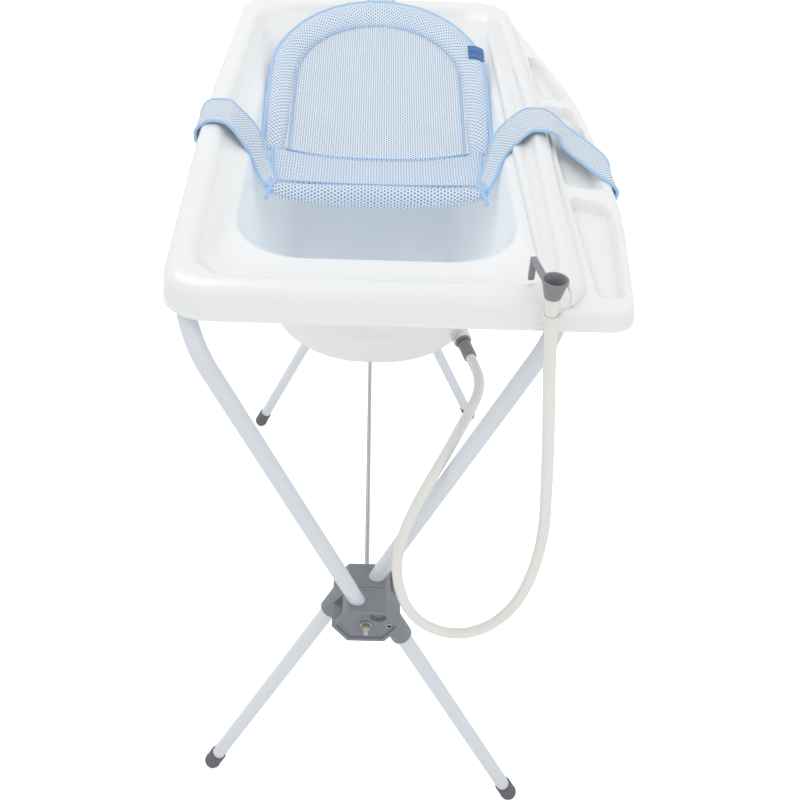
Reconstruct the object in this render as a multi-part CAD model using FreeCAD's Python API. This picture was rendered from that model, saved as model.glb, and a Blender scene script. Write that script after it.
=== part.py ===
"""Baby bath on a folding X-stand, with a mesh bath support and a drain hose.

Millimetres, +Z up.  +Y runs from the foot end to the head end of the bath, +X is the
shelf side.  The origin is on the floor, under the middle of the object without its hose.
The stand is symmetric about its own centre plane, which lies at x = STAND_X, because the
shelf makes the bath wider on the +X side.  Shapes are built about that plane and moved
when they are written.
"""
import FreeCAD, Part
import math
import os

from FreeCAD import Vector

# ---------------------------------------------------------------- driving dimensions
STAND_X = -21.5            # the stand's centre plane
TUBE_R = 10.0              # 20 mm round tube
TUBE_WALL = 1.2
FRAME_Y = 425.0            # from the middle of the stand to the middle of a hub
FRAME_PITCH = 39.0         # between the tube planes of the two frames in a hub
PIVOT_Z = 434.0            # the axle's height
RAIL_Z = 893.0             # the rail tubes' height
UPPER_LEAN = 23.8          # degrees from vertical, upper tubes
LEG_LEAN = 25.5            # degrees from vertical, lower legs
LEG_OFFSET = 28.2          # a leg's axis at the axle's height, from the centre plane
BEND_R = 75.0              # bend of the upper tube into the rail
FOOT_R = 12.5              # rubber foot ball
FOOT_Z = 11.0              # its centre, which leaves a flat on the floor
ROD_R = 3.0                # axle rod
RUN_GAP = 0.1              # radial running clearance on the rod

HUB_HALF_W = 44.5          # hexagonal hub, half width at its points
HUB_FLAT_W = 23.5          # half width of its flat top and bottom
HUB_HALF_H = 29.5
HUB_DEPTH = 38.4
HUB_RECESS = 3.0           # recess of the hub's face plate
HUB_BORDER = 4.5
COLLAR_R = 14.0            # collar round a leg where it leaves the hub
COLLAR_END = 44.0          # its end, along the leg from the axle's height
FOLD_STOP_R = 20.0         # radius of the stop lug between the two castings
FOLD_ANGLE = 22.0          # each frame turns this much

RIM_Z = 920.0              # top of the bath's rim
LIP_Z = 885.0              # bottom of its lip
SHELF_Z = 906.0
WALL = 3.0
RIM_ROUND = 13.0
SHELF_ROUND = 6.0
LIP_PROUD = 2.5
LIP_H = 3.5
SADDLE_GAP = 0.4           # between the saddle ribs and the rail tubes

HOSE_R = 6.5
CUP_X, CUP_Y = 164.0, -456.0
CUP_TOP, CUP_BOTTOM = 955.0, 935.0

PANEL_LOW = Vector(-2.5, 2, 851)     # bottom seam of the support's back panel
PANEL_SLOPE = 11.8                  # degrees

BIG = 2000.0
COS_UP, SIN_UP = math.cos(math.radians(UPPER_LEAN)), math.sin(math.radians(UPPER_LEAN))
COS_LEG, SIN_LEG = math.cos(math.radians(LEG_LEAN)), math.sin(math.radians(LEG_LEAN))


# ---------------------------------------------------------------- helpers
def corner_arc(before, corner, after, radius):
    """Start, middle and end of the arc that rounds a corner."""
    u_in = (corner - before).normalize()
    u_out = (after - corner).normalize()
    turn = u_in.getAngle(u_out)
    reach = radius * math.tan(turn / 2)
    start = corner - u_in * reach
    end = corner + u_out * reach
    inward = (u_out - u_in).normalize()
    middle = corner + inward * (radius / math.cos(turn / 2) - radius)
    return start, middle, end


def rounded_wire(outline, z=0.0):
    """Closed flat wire through (x, y, corner radius) points, with tangent arcs."""
    count = len(outline)
    points = [Vector(x, y, z) for x, y, _ in outline]
    arcs = [corner_arc(points[i - 1], points[i], points[(i + 1) % count], outline[i][2])
            for i in range(count)]
    edges = []
    for i, (start, middle, end) in enumerate(arcs):
        edges.append(Part.Arc(start, middle, end).toShape())
        edges.append(Part.LineSegment(end, arcs[(i + 1) % count][0]).toShape())
    return Part.Wire(edges)


def grown(outline, margin):
    """The outline moved outwards by margin, or inwards where it is negative.
    The outline runs anticlockwise and is convex."""
    count = len(outline)
    result = []
    for i, (x, y, radius) in enumerate(outline):
        here = Vector(x, y, 0)
        u_in = (here - Vector(*outline[i - 1][:2], 0)).normalize()
        u_out = (Vector(*outline[(i + 1) % count][:2], 0) - here).normalize()
        n_in, n_out = Vector(u_in.y, -u_in.x, 0), Vector(u_out.y, -u_out.x, 0)
        moved = here + (n_in + n_out) * (margin / (1 + n_in.dot(n_out)))
        result.append((moved.x, moved.y, max(radius + margin, 1.0)))
    return result


def mirrored(half):
    """A closed anticlockwise outline from its +X half, given from -Y to +Y."""
    return half + [(-x, y, radius) for x, y, radius in reversed(half)]


def prism(outline, low, high):
    return Part.Face(rounded_wire(outline, low)).extrude(Vector(0, 0, high - low))


def domed(outline, low, high, radius):
    """A prism whose top edge is rounded."""
    body = prism(outline, low, high)
    top = [edge for edge in body.Edges
           if all(abs(vertex.Point.z - high) < 1e-6 for vertex in edge.Vertexes)]
    return body.makeFillet(radius, top)


def stack(sections):
    """A solid through (z, outline) sections, ruled from one to the next."""
    wires = [rounded_wire(outline, z) for z, outline in sorted(sections)]
    return Part.makeLoft(wires, True, True)


def rod(start, end, radius):
    run = end - start
    return Part.makeCylinder(radius, run.Length, start, run)


def tube(start, end, outer, inner):
    return rod(start, end, outer).cut(rod(start, end, inner))


def sweep(path, radius):
    """A round solid along a wire."""
    first = path.Edges[0]
    start = first.valueAt(first.FirstParameter)
    tangent = first.tangentAt(first.FirstParameter)
    circle = Part.Wire([Part.Circle(start, tangent, radius).toShape()])
    return path.makePipeShell([circle], True, False)


def ring_polygon(points, y, depth):
    """A prism along +Y from (x, z) points."""
    corners = [Vector(x, y, z) for x, z in points]
    return Part.Face(Part.makePolygon(corners + corners[:1])).extrude(Vector(0, depth, 0))


def flip_x(shape):
    return shape.mirror(Vector(0, 0, 0), Vector(1, 0, 0))


def flip_y(shape):
    return shape.mirror(Vector(0, 0, 0), Vector(0, 1, 0))


def single(shape):
    """The one solid of a boolean's result, cleaned of split faces."""
    cleaned = shape.removeSplitter()
    solids = cleaned.Solids
    if len(solids) != 1:
        raise ValueError(f"expected one solid, found {len(solids)}")
    return solids[0]


parts = {}


# ---------------------------------------------------------------- the folding stand
# Frame A's tubes are in the outer plane at both ends; frame B's are in the inner plane.
PLANE_A = FRAME_Y + FRAME_PITCH / 2
PLANE_B = FRAME_Y - FRAME_PITCH / 2
UP_DIR = Vector(-SIN_UP, 0, COS_UP)          # up a tube that leans to -X
LEG_DIR = Vector(SIN_LEG, 0, -COS_LEG)       # down a leg that leans to +X
UPPER_LENGTH = (RAIL_Z - PIVOT_Z) / COS_UP
TUBE_TAIL = 14.0                             # the upper tube goes on below the axle
FOOT_SLEEVE = 24.0
LEG_TOP = -6.0                               # along the leg from the axle's height
RIVET_ALONG = 3.0                            # the rivet's place on the leg, from the axle's height
RIVET_R, RIVET_BORE = 4.5, 2.8
SEATED = 0.02                                # clearance of two pieces that are fixed together


def top_tube(plane):
    """The bent tube: up from the front hub, along the rail and down to the rear hub."""
    def end_points(y, inward):
        pivot = Vector(0, y, PIVOT_Z)
        corner = pivot + UP_DIR * UPPER_LENGTH
        tail = pivot - UP_DIR * TUBE_TAIL
        bend_low = corner - UP_DIR * BEND_R
        bend_high = corner + Vector(0, inward * BEND_R, 0)
        centre = bend_low + Vector(0, inward * BEND_R, 0)
        middle = centre + (corner - centre).normalize() * BEND_R
        return tail, bend_low, middle, bend_high
    tail1, low1, middle1, high1 = end_points(-plane, 1)
    tail2, low2, middle2, high2 = end_points(plane, -1)
    path = Part.Wire([
        Part.LineSegment(tail1, low1).toShape(),
        Part.Arc(low1, middle1, high1).toShape(),
        Part.LineSegment(high1, high2).toShape(),
        Part.Arc(high2, middle2, low2).toShape(),
        Part.LineSegment(low2, tail2).toShape(),
    ])
    solid = sweep(path, TUBE_R).cut(sweep(path, TUBE_R - TUBE_WALL))
    axle = rod(Vector(0, -BIG, PIVOT_Z), Vector(0, BIG, PIVOT_Z), ROD_R + RUN_GAP)
    return single(solid.cut(axle))


def leg_point(along, y):
    return Vector(LEG_OFFSET, y, PIVOT_Z) + LEG_DIR * along


def leg(y):
    foot = (PIVOT_Z - FOOT_Z) / COS_LEG
    rivet = rod(leg_point(RIVET_ALONG, y - BIG), leg_point(RIVET_ALONG, y + BIG), RIVET_R)
    return single(tube(leg_point(LEG_TOP, y), leg_point(foot, y), TUBE_R, TUBE_R - TUBE_WALL).cut(rivet))


def foot_cap(y):
    """A rubber ball with a sleeve round the leg's end and a flat on the floor."""
    foot = (PIVOT_Z - FOOT_Z) / COS_LEG
    ball = Part.makeSphere(FOOT_R, leg_point(foot, y))
    sleeve = rod(leg_point(foot - FOOT_SLEEVE, y), leg_point(foot, y), FOOT_R - 0.4)
    floor = Part.makeBox(BIG, 2 * BIG, BIG, Vector(-BIG / 2, -BIG, -BIG))
    bore = rod(leg_point(foot - 2 * FOOT_SLEEVE, y), leg_point(foot, y), TUBE_R + SEATED)
    return single(ball.fuse(sleeve).cut(bore).cut(floor))


def hexagon(inset=0.0):
    half_w, flat_w, half_h = HUB_HALF_W - inset * 1.25, HUB_FLAT_W - inset * 0.55, HUB_HALF_H - inset
    return [(half_w, PIVOT_Z), (flat_w, PIVOT_Z + half_h), (-flat_w, PIVOT_Z + half_h),
            (-half_w, PIVOT_Z), (-flat_w, PIVOT_Z - half_h), (flat_w, PIVOT_Z - half_h)]


def lug_arc(start, sweep_angle, half_width, y, depth):
    """A curved block round the axle, from start to start + sweep_angle degrees.
    Angles go from +X towards +Z."""
    def spot(angle, radius):
        turn = math.radians(angle)
        return Vector(radius * math.cos(turn), y, PIVOT_Z + radius * math.sin(turn))
    inner, outer = FOLD_STOP_R - half_width, FOLD_STOP_R + half_width
    middle, end = start + sweep_angle / 2, start + sweep_angle
    wire = Part.Wire([
        Part.Arc(spot(start, inner), spot(middle, inner), spot(end, inner)).toShape(),
        Part.LineSegment(spot(end, inner), spot(end, outer)).toShape(),
        Part.Arc(spot(end, outer), spot(middle, outer), spot(start, outer)).toShape(),
        Part.LineSegment(spot(start, outer), spot(start, inner)).toShape(),
    ])
    return Part.Face(wire).extrude(Vector(0, depth, 0))


def casting(plane, shows_face):
    """A front hub casting of a frame whose upper tube leans to -X and leg to +X."""
    near = plane - HUB_DEPTH / 2
    block = ring_polygon(hexagon(), near, HUB_DEPTH)
    edges = [edge for edge in block.Edges if abs(edge.tangentAt(edge.FirstParameter).y) > 0.9]
    block = block.makeFillet(4.0, edges)
    collar = rod(leg_point(0, plane), leg_point(COLLAR_END, plane), COLLAR_R)
    block = block.fuse(collar)
    hollow = Part.makeBox(28, HUB_DEPTH - 8, 40, Vector(-54, near + 4, PIVOT_Z - 20))
    web = Part.makeBox(40, HUB_DEPTH, 3, Vector(-60, near, PIVOT_Z - 1.5))
    block = block.cut(hollow.cut(web))
    if shows_face:
        plate = ring_polygon(hexagon(HUB_BORDER), near - 1, 1 + HUB_RECESS)
        block = block.cut(plate)
        window_base = Vector(15, near - 1, PIVOT_Z + 17.5)
        window = Part.makeCylinder(11, HUB_RECESS + 6, window_base, Vector(0, 1, 0))
        inside = ring_polygon(hexagon(HUB_BORDER + 0.5), near - 1, HUB_DEPTH)
        block = block.cut(window.common(inside))
    axle = rod(Vector(0, plane - 60, PIVOT_Z), Vector(0, plane + 60, PIVOT_Z), ROD_R + RUN_GAP)
    upper = rod(Vector(0, plane, PIVOT_Z) - UP_DIR * TUBE_TAIL,
                Vector(0, plane, PIVOT_Z) + UP_DIR * 80, TUBE_R + SEATED)
    lower = rod(leg_point(LEG_TOP, plane), leg_point(200, plane), TUBE_R + SEATED)
    rivet = rod(leg_point(RIVET_ALONG, plane - 60), leg_point(RIVET_ALONG, plane + 60), RIVET_R)
    return block.cut(axle).cut(upper).cut(lower).cut(rivet)


STOP_HALF = 4.0
STOP_START = 250.0
STOP_LUG = 16.0            # degrees
STOP_H = 3.0
STOP_GAP = 0.4


def hub_outer():
    """Frame A's front casting, with the groove that the stop lug runs in."""
    block = casting(-PLANE_A, True)
    far = -PLANE_A + HUB_DEPTH / 2
    groove = lug_arc(STOP_START - 1.0, 2 * FOLD_ANGLE + STOP_LUG + 2.0, STOP_HALF + STOP_GAP,
                     far - STOP_H - 1.0, STOP_H + 2.0)
    return single(block.cut(groove))


def hub_inner():
    """Frame B's front casting, with the stop lug on its face."""
    block = flip_x(casting(-PLANE_B, False))
    near = -PLANE_B - HUB_DEPTH / 2
    lug = lug_arc(STOP_START, STOP_LUG, STOP_HALF, near - STOP_H, STOP_H)
    return single(block.fuse(lug))


def rivet(y):
    """A hollow rivet through a casting and its leg."""
    half = HUB_DEPTH / 2
    near, far = y - half + HUB_RECESS, y + half - 1.0
    return tube(leg_point(RIVET_ALONG, near), leg_point(RIVET_ALONG, far), RIVET_R - SEATED, RIVET_BORE)


tube_a = top_tube(PLANE_A)
tube_b = flip_x(top_tube(PLANE_B))
outer_front, inner_front = hub_outer(), hub_inner()
parts["left_rail_tube"] = tube_a
parts["right_rail_tube"] = tube_b
parts["front_right_leg"] = leg(-PLANE_A)
parts["rear_right_leg"] = leg(PLANE_A)
parts["front_left_leg"] = flip_x(leg(-PLANE_B))
parts["rear_left_leg"] = flip_x(leg(PLANE_B))
parts["front_right_foot_cap"] = foot_cap(-PLANE_A)
parts["rear_right_foot_cap"] = foot_cap(PLANE_A)
parts["front_left_foot_cap"] = flip_x(foot_cap(-PLANE_B))
parts["rear_left_foot_cap"] = flip_x(foot_cap(PLANE_B))
parts["front_outer_hub"] = outer_front
parts["front_inner_hub"] = inner_front
parts["rear_outer_hub"] = flip_y(outer_front)
parts["rear_inner_hub"] = flip_y(inner_front)
parts["outer_leg_rivets"] = Part.makeCompound([rivet(-PLANE_A), flip_y(rivet(-PLANE_A))])
parts["inner_leg_rivets"] = Part.makeCompound([flip_x(rivet(-PLANE_B)), flip_x(flip_y(rivet(-PLANE_B)))])

# ---------------------------------------------------------------- axle, washers and nuts
FACE_Y = PLANE_A + HUB_DEPTH / 2 - HUB_RECESS      # the recessed plate of an outer hub
WASHER_T, WASHER_R = 1.2, 7.5
NUT_T, NUT_ACROSS = 5.2, 10.0
ROD_PROUD = 15.5
WASHER_GAP = 0.3


def nut(y):
    corner = NUT_ACROSS / 2 / math.cos(math.radians(30))
    points = [(corner * math.cos(math.radians(60 * i)), PIVOT_Z + corner * math.sin(math.radians(60 * i)))
              for i in range(6)]
    body = ring_polygon(points, y, NUT_T)
    return body.cut(rod(Vector(0, y - 1, PIVOT_Z), Vector(0, y + NUT_T + 1, PIVOT_Z), ROD_R + SEATED))


def washer(y):
    return tube(Vector(0, y, PIVOT_Z), Vector(0, y + WASHER_T, PIVOT_Z), WASHER_R, ROD_R + SEATED)


rod_end = FACE_Y + ROD_PROUD
axle_rod = rod(Vector(0, -rod_end, PIVOT_Z), Vector(0, rod_end, PIVOT_Z), ROD_R)
front_washer = washer(-FACE_Y - WASHER_GAP - WASHER_T)
front_nut = nut(-FACE_Y - WASHER_GAP - WASHER_T - NUT_T - SEATED)
parts["axle_rod"] = axle_rod.makeChamfer(0.7, [axle_rod.Edges[0], axle_rod.Edges[2]])
parts["axle_washers"] = Part.makeCompound([front_washer, flip_y(front_washer)])
parts["axle_nuts"] = Part.makeCompound([front_nut, flip_y(front_nut)])

# ---------------------------------------------------------------- the bath
RIM = [(208, -440, 50), (217, 0, 6000), (210, 440, 60), (-222, 440, 54), (-232, 0, 6000), (-219, -440, 50)]
SHELF = [(150, -440, 20), (254, -440, 26), (279, -230, 900), (274, 70, 900), (206, 432, 40), (150, 432, 20)]
SHELF_POCKETS = [
    [(221, -410, 10), (248, -410, 10), (261, -300, 300), (266, -222, 14), (221, -200, 10)],
    [(222, -170, 10), (265, -186, 12), (266, -60, 300), (261, 44, 14), (222, 56, 10)],
    [(222, 84, 8), (258, 74, 10), (235, 224, 5), (222, 230, 5)],
]
POCKET_Z = 893.0
# (z, front y, rear y, half widths at the front, middle and rear, front and rear corner radius)
BASIN_X = -2.5             # the basin sits this far off the stand's centre plane
BASIN = [
    (RIM_Z + 1.0, -408, 398, 187, 198, 189, 44, 66),
    (908.0, -400, 388, 178, 191, 180, 40, 62),
    (885.0, -318, 350, 158, 163, 158, 85, 100),
    (763.0, -296, 325, 140, 144, 140, 118, 95),
    (707.0, -268, 305, 121, 127, 121, 116, 92),
    (693.0, -243, 292, 99, 105, 99, 97, 80),
]
SADDLE_YS = (-290.0, 0.0, 290.0)
SADDLES_X = ((-215.0, -194.0), (192.0, 203.0))

# The drain leaves the basin's lowest corner at the foot end, on the +X side.
DRAIN_DIR = Vector(0.26, -0.95, -0.10).normalize()
DRAIN_EXIT = Vector(121.9, -248.5, 701.3)            # where the hose leaves its collar
COLLAR_LENGTH = 26.0
BOSS_R = 12.0
BOSS_START, BOSS_END = -66.0, -31.0                  # along the drain, from the hose's end
SPIGOT_BORE = 4.0
SPIGOT_R = 5.4
SPIGOT_FLANGE_T = 3.0
SPIGOT_FLANGE_R = 10.0


def along_drain(distance):
    return DRAIN_EXIT + DRAIN_DIR * distance


def basin_outline(front, rear, half_front, half_middle, half_rear, r_front, r_rear):
    outline = mirrored([(half_front, front, r_front), (half_middle, 30, 2500), (half_rear, rear, r_rear)])
    return [(x + BASIN_X, y, radius) for x, y, radius in outline]


def tub_shell():
    rim = domed(RIM, LIP_Z, RIM_Z, RIM_ROUND)
    shelf = domed(SHELF, LIP_Z, SHELF_Z, SHELF_ROUND)
    lip = prism(grown(RIM, LIP_PROUD), LIP_Z, LIP_Z + LIP_H)
    shelf_lip = prism(grown(SHELF, LIP_PROUD), LIP_Z, LIP_Z + LIP_H)
    rim_inside = domed(grown(RIM, -WALL), LIP_Z - 1, RIM_Z - WALL, RIM_ROUND - WALL)
    shelf_inside = domed(grown(SHELF, -WALL), LIP_Z - 1, SHELF_Z - WALL, SHELF_ROUND - WALL)
    shell = rim.fuse([shelf, lip, shelf_lip]).cut(rim_inside.fuse(shelf_inside))
    inner = [(z, basin_outline(*values)) for z, *values in BASIN]
    outer = [(z - WALL, grown(outline, WALL)) for z, outline in inner]
    outer[0] = (RIM_Z - WALL, outer[0][1])
    rib_z = RAIL_Z + TUBE_R + SADDLE_GAP
    ribs = [Part.makeBox(high - low, WALL, RIM_Z - WALL / 2 - rib_z, Vector(low, y, rib_z))
            for y in SADDLE_YS for low, high in SADDLES_X]
    cups = [prism(grown(outline, WALL), POCKET_Z - WALL, SHELF_Z - WALL / 2) for outline in SHELF_POCKETS]
    boss = rod(along_drain(BOSS_START), along_drain(BOSS_END), BOSS_R)
    body = shell.fuse([stack(outer), boss] + ribs + cups)
    body = body.cut(stack(inner))
    for outline in SHELF_POCKETS:
        body = body.cut(prism(outline, POCKET_Z, SHELF_Z + 1))
    return body


def drain_spigot():
    """A nipple in the bath's drain boss, with a flange on the boss's end."""
    nipple = rod(along_drain(BOSS_START + 14), along_drain(-3), SPIGOT_R)
    flange = rod(along_drain(BOSS_END), along_drain(BOSS_END + SPIGOT_FLANGE_T), SPIGOT_FLANGE_R)
    bore = rod(along_drain(-90), along_drain(5), SPIGOT_BORE)
    return nipple.fuse(flange).cut(bore)


def drilled_tub():
    drain_hole = rod(along_drain(-90), along_drain(BOSS_END + 1), SPIGOT_R + SEATED)
    return single(tub_shell().cut(drain_hole))


parts["tub_shell"] = drilled_tub()
parts["drain_spigot"] = single(drain_spigot())
parts["hose_collar"] = tube(along_drain(-COLLAR_LENGTH), along_drain(0), HOSE_R + 1.8, SPIGOT_R + 0.05)

# ---------------------------------------------------------------- the drain hose
HOSE_ROUTE = [
    (121.9, -248.5, 701.3), (128.3, -271.9, 698.8), (130.2, -296.0, 700.0), (124.8, -324.5, 701.0),
    (112.7, -351.4, 695.5), (96.7, -378.0, 680.0), (77.8, -404.4, 659.0), (58.1, -429.0, 634.0),
    (42.2, -444.6, 599.4), (33.5, -452.0, 560.0), (35.0, -457.0, 518.0), (46.0, -462.0, 479.0),
    (66.0, -466.0, 449.0), (96.0, -470.0, 435.0), (124.0, -473.0, 437.0), (152.0, -475.0, 456.0),
    (174.0, -476.0, 489.0), (187.0, -477.0, 530.0), (194.0, -477.0, 580.0), (195.5, -476.0, 634.0),
    (190.0, -474.0, 692.0), (184.0, -470.0, 752.0), (177.0, -464.0, 812.0), (170.0, -459.0, 870.0),
    (CUP_X, CUP_Y, CUP_BOTTOM),
]


def cord_path(route):
    """Straight runs joined by tangent arcs, each as large as its two runs allow."""
    points = [Vector(*point) for point in route]
    edges, radii, here = [], [], points[0]
    for before, corner, after in zip(points, points[1:], points[2:]):
        turn = (corner - before).getAngle(after - corner)
        shorter = min((corner - before).Length, (after - corner).Length)
        radius = 0.45 * shorter / math.tan(turn / 2)
        start, middle, end = corner_arc(before, corner, after, radius)
        edges.append(Part.LineSegment(here, start).toShape())
        edges.append(Part.Arc(start, middle, end).toShape())
        radii.append(radius)
        here = end
    edges.append(Part.LineSegment(here, points[-1]).toShape())
    return Part.Wire(edges), radii


hose_path, hose_radii = cord_path(HOSE_ROUTE)
hose = sweep(hose_path, HOSE_R)
print("hose length", round(hose_path.Length, 1), "volume ratio",
      round(hose.Volume / (math.pi * HOSE_R ** 2 * hose_path.Length), 4),
      "smallest radius", round(min(hose_radii), 1))
print("hose radii", [round(radius) for radius in hose_radii])
parts["drain_hose"] = hose

CUP_R, CUP_WALL = 13.0, 1.8
HOOK_W, HOOK_T = 6.0, 4.0
HOOK_Z = 941.0             # top of the hook's arm
HOOK_TIP = Vector(152.5, -393.5, 915.5)


def mouthpiece():
    """A funnel on the hose's end, with an arm over the rim and a hook inside it."""
    centre = Vector(CUP_X, CUP_Y, CUP_BOTTOM)
    up = Vector(0, 0, 1)
    height = CUP_TOP - CUP_BOTTOM
    cone = Part.makeCone(HOSE_R + 1.6, CUP_R, height, centre, up)
    hollow = Part.makeCone(HOSE_R - 0.6, CUP_R - CUP_WALL, height, centre, up)
    reach = Vector(HOOK_TIP.x - CUP_X, HOOK_TIP.y - CUP_Y, 0)
    side = Vector(-reach.y, reach.x, 0).normalize() * (HOOK_W / 2)
    base = Vector(CUP_X, CUP_Y, HOOK_Z - HOOK_T)
    corners = [base - side, base + reach - side, base + reach + side, base + side]
    arm = Part.Face(Part.makePolygon(corners + corners[:1])).extrude(up * HOOK_T)
    back = reach.normalize() * HOOK_T
    tip_base = Vector(HOOK_TIP.x, HOOK_TIP.y, HOOK_TIP.z)
    corners = [tip_base - side - back, tip_base - side, tip_base + side, tip_base + side - back]
    hook = Part.Face(Part.makePolygon(corners + corners[:1])).extrude(up * (HOOK_Z - HOOK_TIP.z))
    outside = arm.fuse(hook).cut(Part.makeCone(HOSE_R + 1.0, CUP_R - 0.5, height, centre, up))
    return single(cone.fuse(outside).cut(hollow))


def tether():
    """A thin strap from the funnel's side down to a ring on the hose."""
    points = [Vector(CUP_X + 12.6, CUP_Y - 1, 950), Vector(CUP_X + 18.5, CUP_Y - 2, 937),
              Vector(CUP_X + 16.5, CUP_Y - 2, 924), Vector(CUP_X + 9.5, CUP_Y - 1, 914)]
    path, _ = cord_path([tuple(point) for point in points])
    ring_centre = Vector(166.0, -457.0, 913.0)
    axis = Vector(CUP_X - 170.0, CUP_Y + 459.0, CUP_BOTTOM - 870.0).normalize()
    band = tube(ring_centre - axis * 2.5, ring_centre + axis * 2.5, HOSE_R + 2.2, HOSE_R + 0.3)
    return single(sweep(path, 1.5).fuse(band))


parts["hose_mouthpiece"] = mouthpiece()
parts["mouthpiece_tether"] = tether()


# ---------------------------------------------------------------- the mesh bath support
def on_panel(shape):
    """Move a flat shape from the panel's own plane to its place in the bath."""
    placed = shape.copy()
    placed.rotate(Vector(0, 0, 0), Vector(1, 0, 0), PANEL_SLOPE)
    placed.translate(PANEL_LOW)
    return placed


PANEL = [(121, 0, 10), (121, 322, 108), (-121, 322, 108), (-121, 0, 10)]
BOLSTER = [(152, 0, 10), (157, 150, 3000), (157, 388, 150), (-157, 388, 150), (-157, 150, 3000), (-152, 0, 10)]
PANEL_T, BOLSTER_T = 8.0, 18.0
SOFT_GAP = 0.3


def back_panel():
    return on_panel(prism(PANEL, -PANEL_T / 2, PANEL_T / 2))


def bolster():
    opening = [(x, y if y > 0 else -20, radius) for x, y, radius in grown(PANEL, SOFT_GAP)]
    ring = prism(BOLSTER, -BOLSTER_T / 2, BOLSTER_T / 2).cut(prism(opening, -BOLSTER_T, BOLSTER_T))
    return on_panel(single(ring))


def band(stations, thickness):
    """A strap through (centre, width direction, width, normal) stations."""
    wires = []
    for centre, across, width, normal in stations:
        half = Vector(*across).normalize() * (width / 2)
        rise = Vector(*normal).normalize() * thickness
        base = Vector(*centre)
        corners = [base - half, base + half, base + half + rise, base - half + rise]
        wires.append(Part.makePolygon(corners + corners[:1]))
    return Part.makeLoft(wires, True, True)


STRAP_T = 2.5
LEFT_STRAP = [
    ((-139, -112, 859), (0.1, 1, 0.1), 30, (0.7, 0, 0.7)),
    ((-153, -62, 872), (0.1, 1, 0.1), 52, (0.8, 0, 0.6)),
    ((-163, -50, 896), (0.08, 1, 0.1), 60, (0.8, 0, 0.5)),
    ((-186, -48, 922), (0, 1, 0), 66, (0.6, 0, 0.8)),
    ((-197, -38, 926), (0, 1, 0), 66, (0.2, 0, 1)),
    ((-220, -33, 923), (-0.1, 1, 0), 62, (-0.4, 0, 0.9)),
    ((-235.5, -31, 909), (0, 1, 0), 56, (-1, 0, 0.3)),
    ((-237.5, -31, 893), (0, 1, 0), 50, (-1, 0, 0)),
]
RIGHT_STRAP = [
    ((136, -112, 859), (-0.1, 1, 0.1), 30, (-0.7, 0, 0.7)),
    ((146.5, -60, 874), (-0.12, 1, 0.1), 50, (-0.8, 0, 0.6)),
    ((159, -42, 897), (-0.1, 1, 0.1), 56, (-0.8, 0, 0.6)),
    ((185, -38, 922.5), (-0.05, 1, 0), 62, (-0.6, 0, 0.8)),
    ((199, -37, 926.5), (0, 1, 0), 66, (0, 0, 1)),
    ((220, -40, 924), (0, 1, 0), 66, (0.4, 0, 0.9)),
    ((237, -56, 911), (0.2, 1, 0), 62, (0.5, 0, 0.9)),
    ((270, -128, 911), (0.35, 1, 0), 50, (0.3, 0, 0.9)),
    ((282.6, -154, 904), (0, 1, 0), 46, (1, 0, 0.3)),
    ((283, -156, 892), (0, 1, 0), 44, (1, 0, 0)),
]
HEAD_STRAP = [
    ((0, 388, 926.5), (1, 0, 0), 40, (0, -0.1, 1)),
    ((0, 426, 924), (1, 0, 0), 40, (0, 0.4, 0.9)),
    ((0, 439.5, 920), (1, 0, 0), 39, (0, 0.8, 0.7)),
    ((0, 444.5, 909), (1, 0, 0), 38, (0, 1, 0.2)),
    ((0, 445, 893), (1, 0, 0), 36, (0, 1, 0)),
]
HOOK_PLATE_T = 2.5


def hook_plate(centre, across, outwards, width):
    """A flat plastic hook outside the skirt, at the end of a strap."""
    half = Vector(*across) * (width / 2)
    out = Vector(*outwards) * HOOK_PLATE_T
    base = Vector(*centre)
    corners = [base - half, base + half, base + half + out, base - half + out]
    plate = Part.Face(Part.makePolygon(corners + corners[:1])).extrude(Vector(0, 0, 13))
    return plate


def seat_roll():
    """The padded edge under the thighs, between the two gathered corners."""
    sections = []
    for x, y, z, size in ((-128, -112, 852, 9), (-90, -100, 843, 13), (0, -94, 838, 14),
                          (90, -100, 843, 13), (128, -112, 852, 9)):
        sections.append(rounded_wire([(-size, -size * 0.7, 3), (size, -size * 0.7, 3),
                                      (size, size * 0.7, 3), (-size, size * 0.7, 3)]))
        turn = FreeCAD.Rotation(Vector(1, 1, 1), 120)
        sections[-1].Placement = FreeCAD.Placement(Vector(x, y, z), turn)
    return Part.makeLoft(sections, True, True)


SEAT = [(124, -78, 14), (124, 0.2, 4), (-124, 0.2, 4), (-124, -78, 14)]
parts["support_back_panel"] = back_panel()
parts["support_bolster"] = bolster()
parts["support_seat"] = prism(SEAT, 844.0, 850.0)
parts["support_front_roll"] = seat_roll()
parts["left_strap"] = band(LEFT_STRAP, STRAP_T)
parts["right_strap"] = band(RIGHT_STRAP, STRAP_T)
parts["head_strap"] = band(HEAD_STRAP, STRAP_T)
parts["left_strap_hook"] = hook_plate((-235.3, -31, 879.5), (0, 1, 0), (-1, 0, 0), 44)
parts["right_strap_hook"] = hook_plate((281.8, -156, 878.5), (0, 1, 0), (1, 0, 0), 38)
parts["head_strap_hook"] = hook_plate((0, 443.2, 879.5), (-1, 0, 0), (0, 1, 0), 28)
tag = Part.makeBox(16, 24, 0.8, Vector(138, 222, BOLSTER_T / 2 + SOFT_GAP))
parts["support_tag"] = on_panel(tag)

# ---------------------------------------------------------------- write
os.makedirs("parts", exist_ok=True)
for name, shape in parts.items():
    placed = shape.copy()
    placed.translate(Vector(STAND_X, 0, 0))
    if not placed.isValid():
        print("invalid:", name)
    placed.exportStep(f"parts/{name}.step")
print(len(parts), "nodes")
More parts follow.
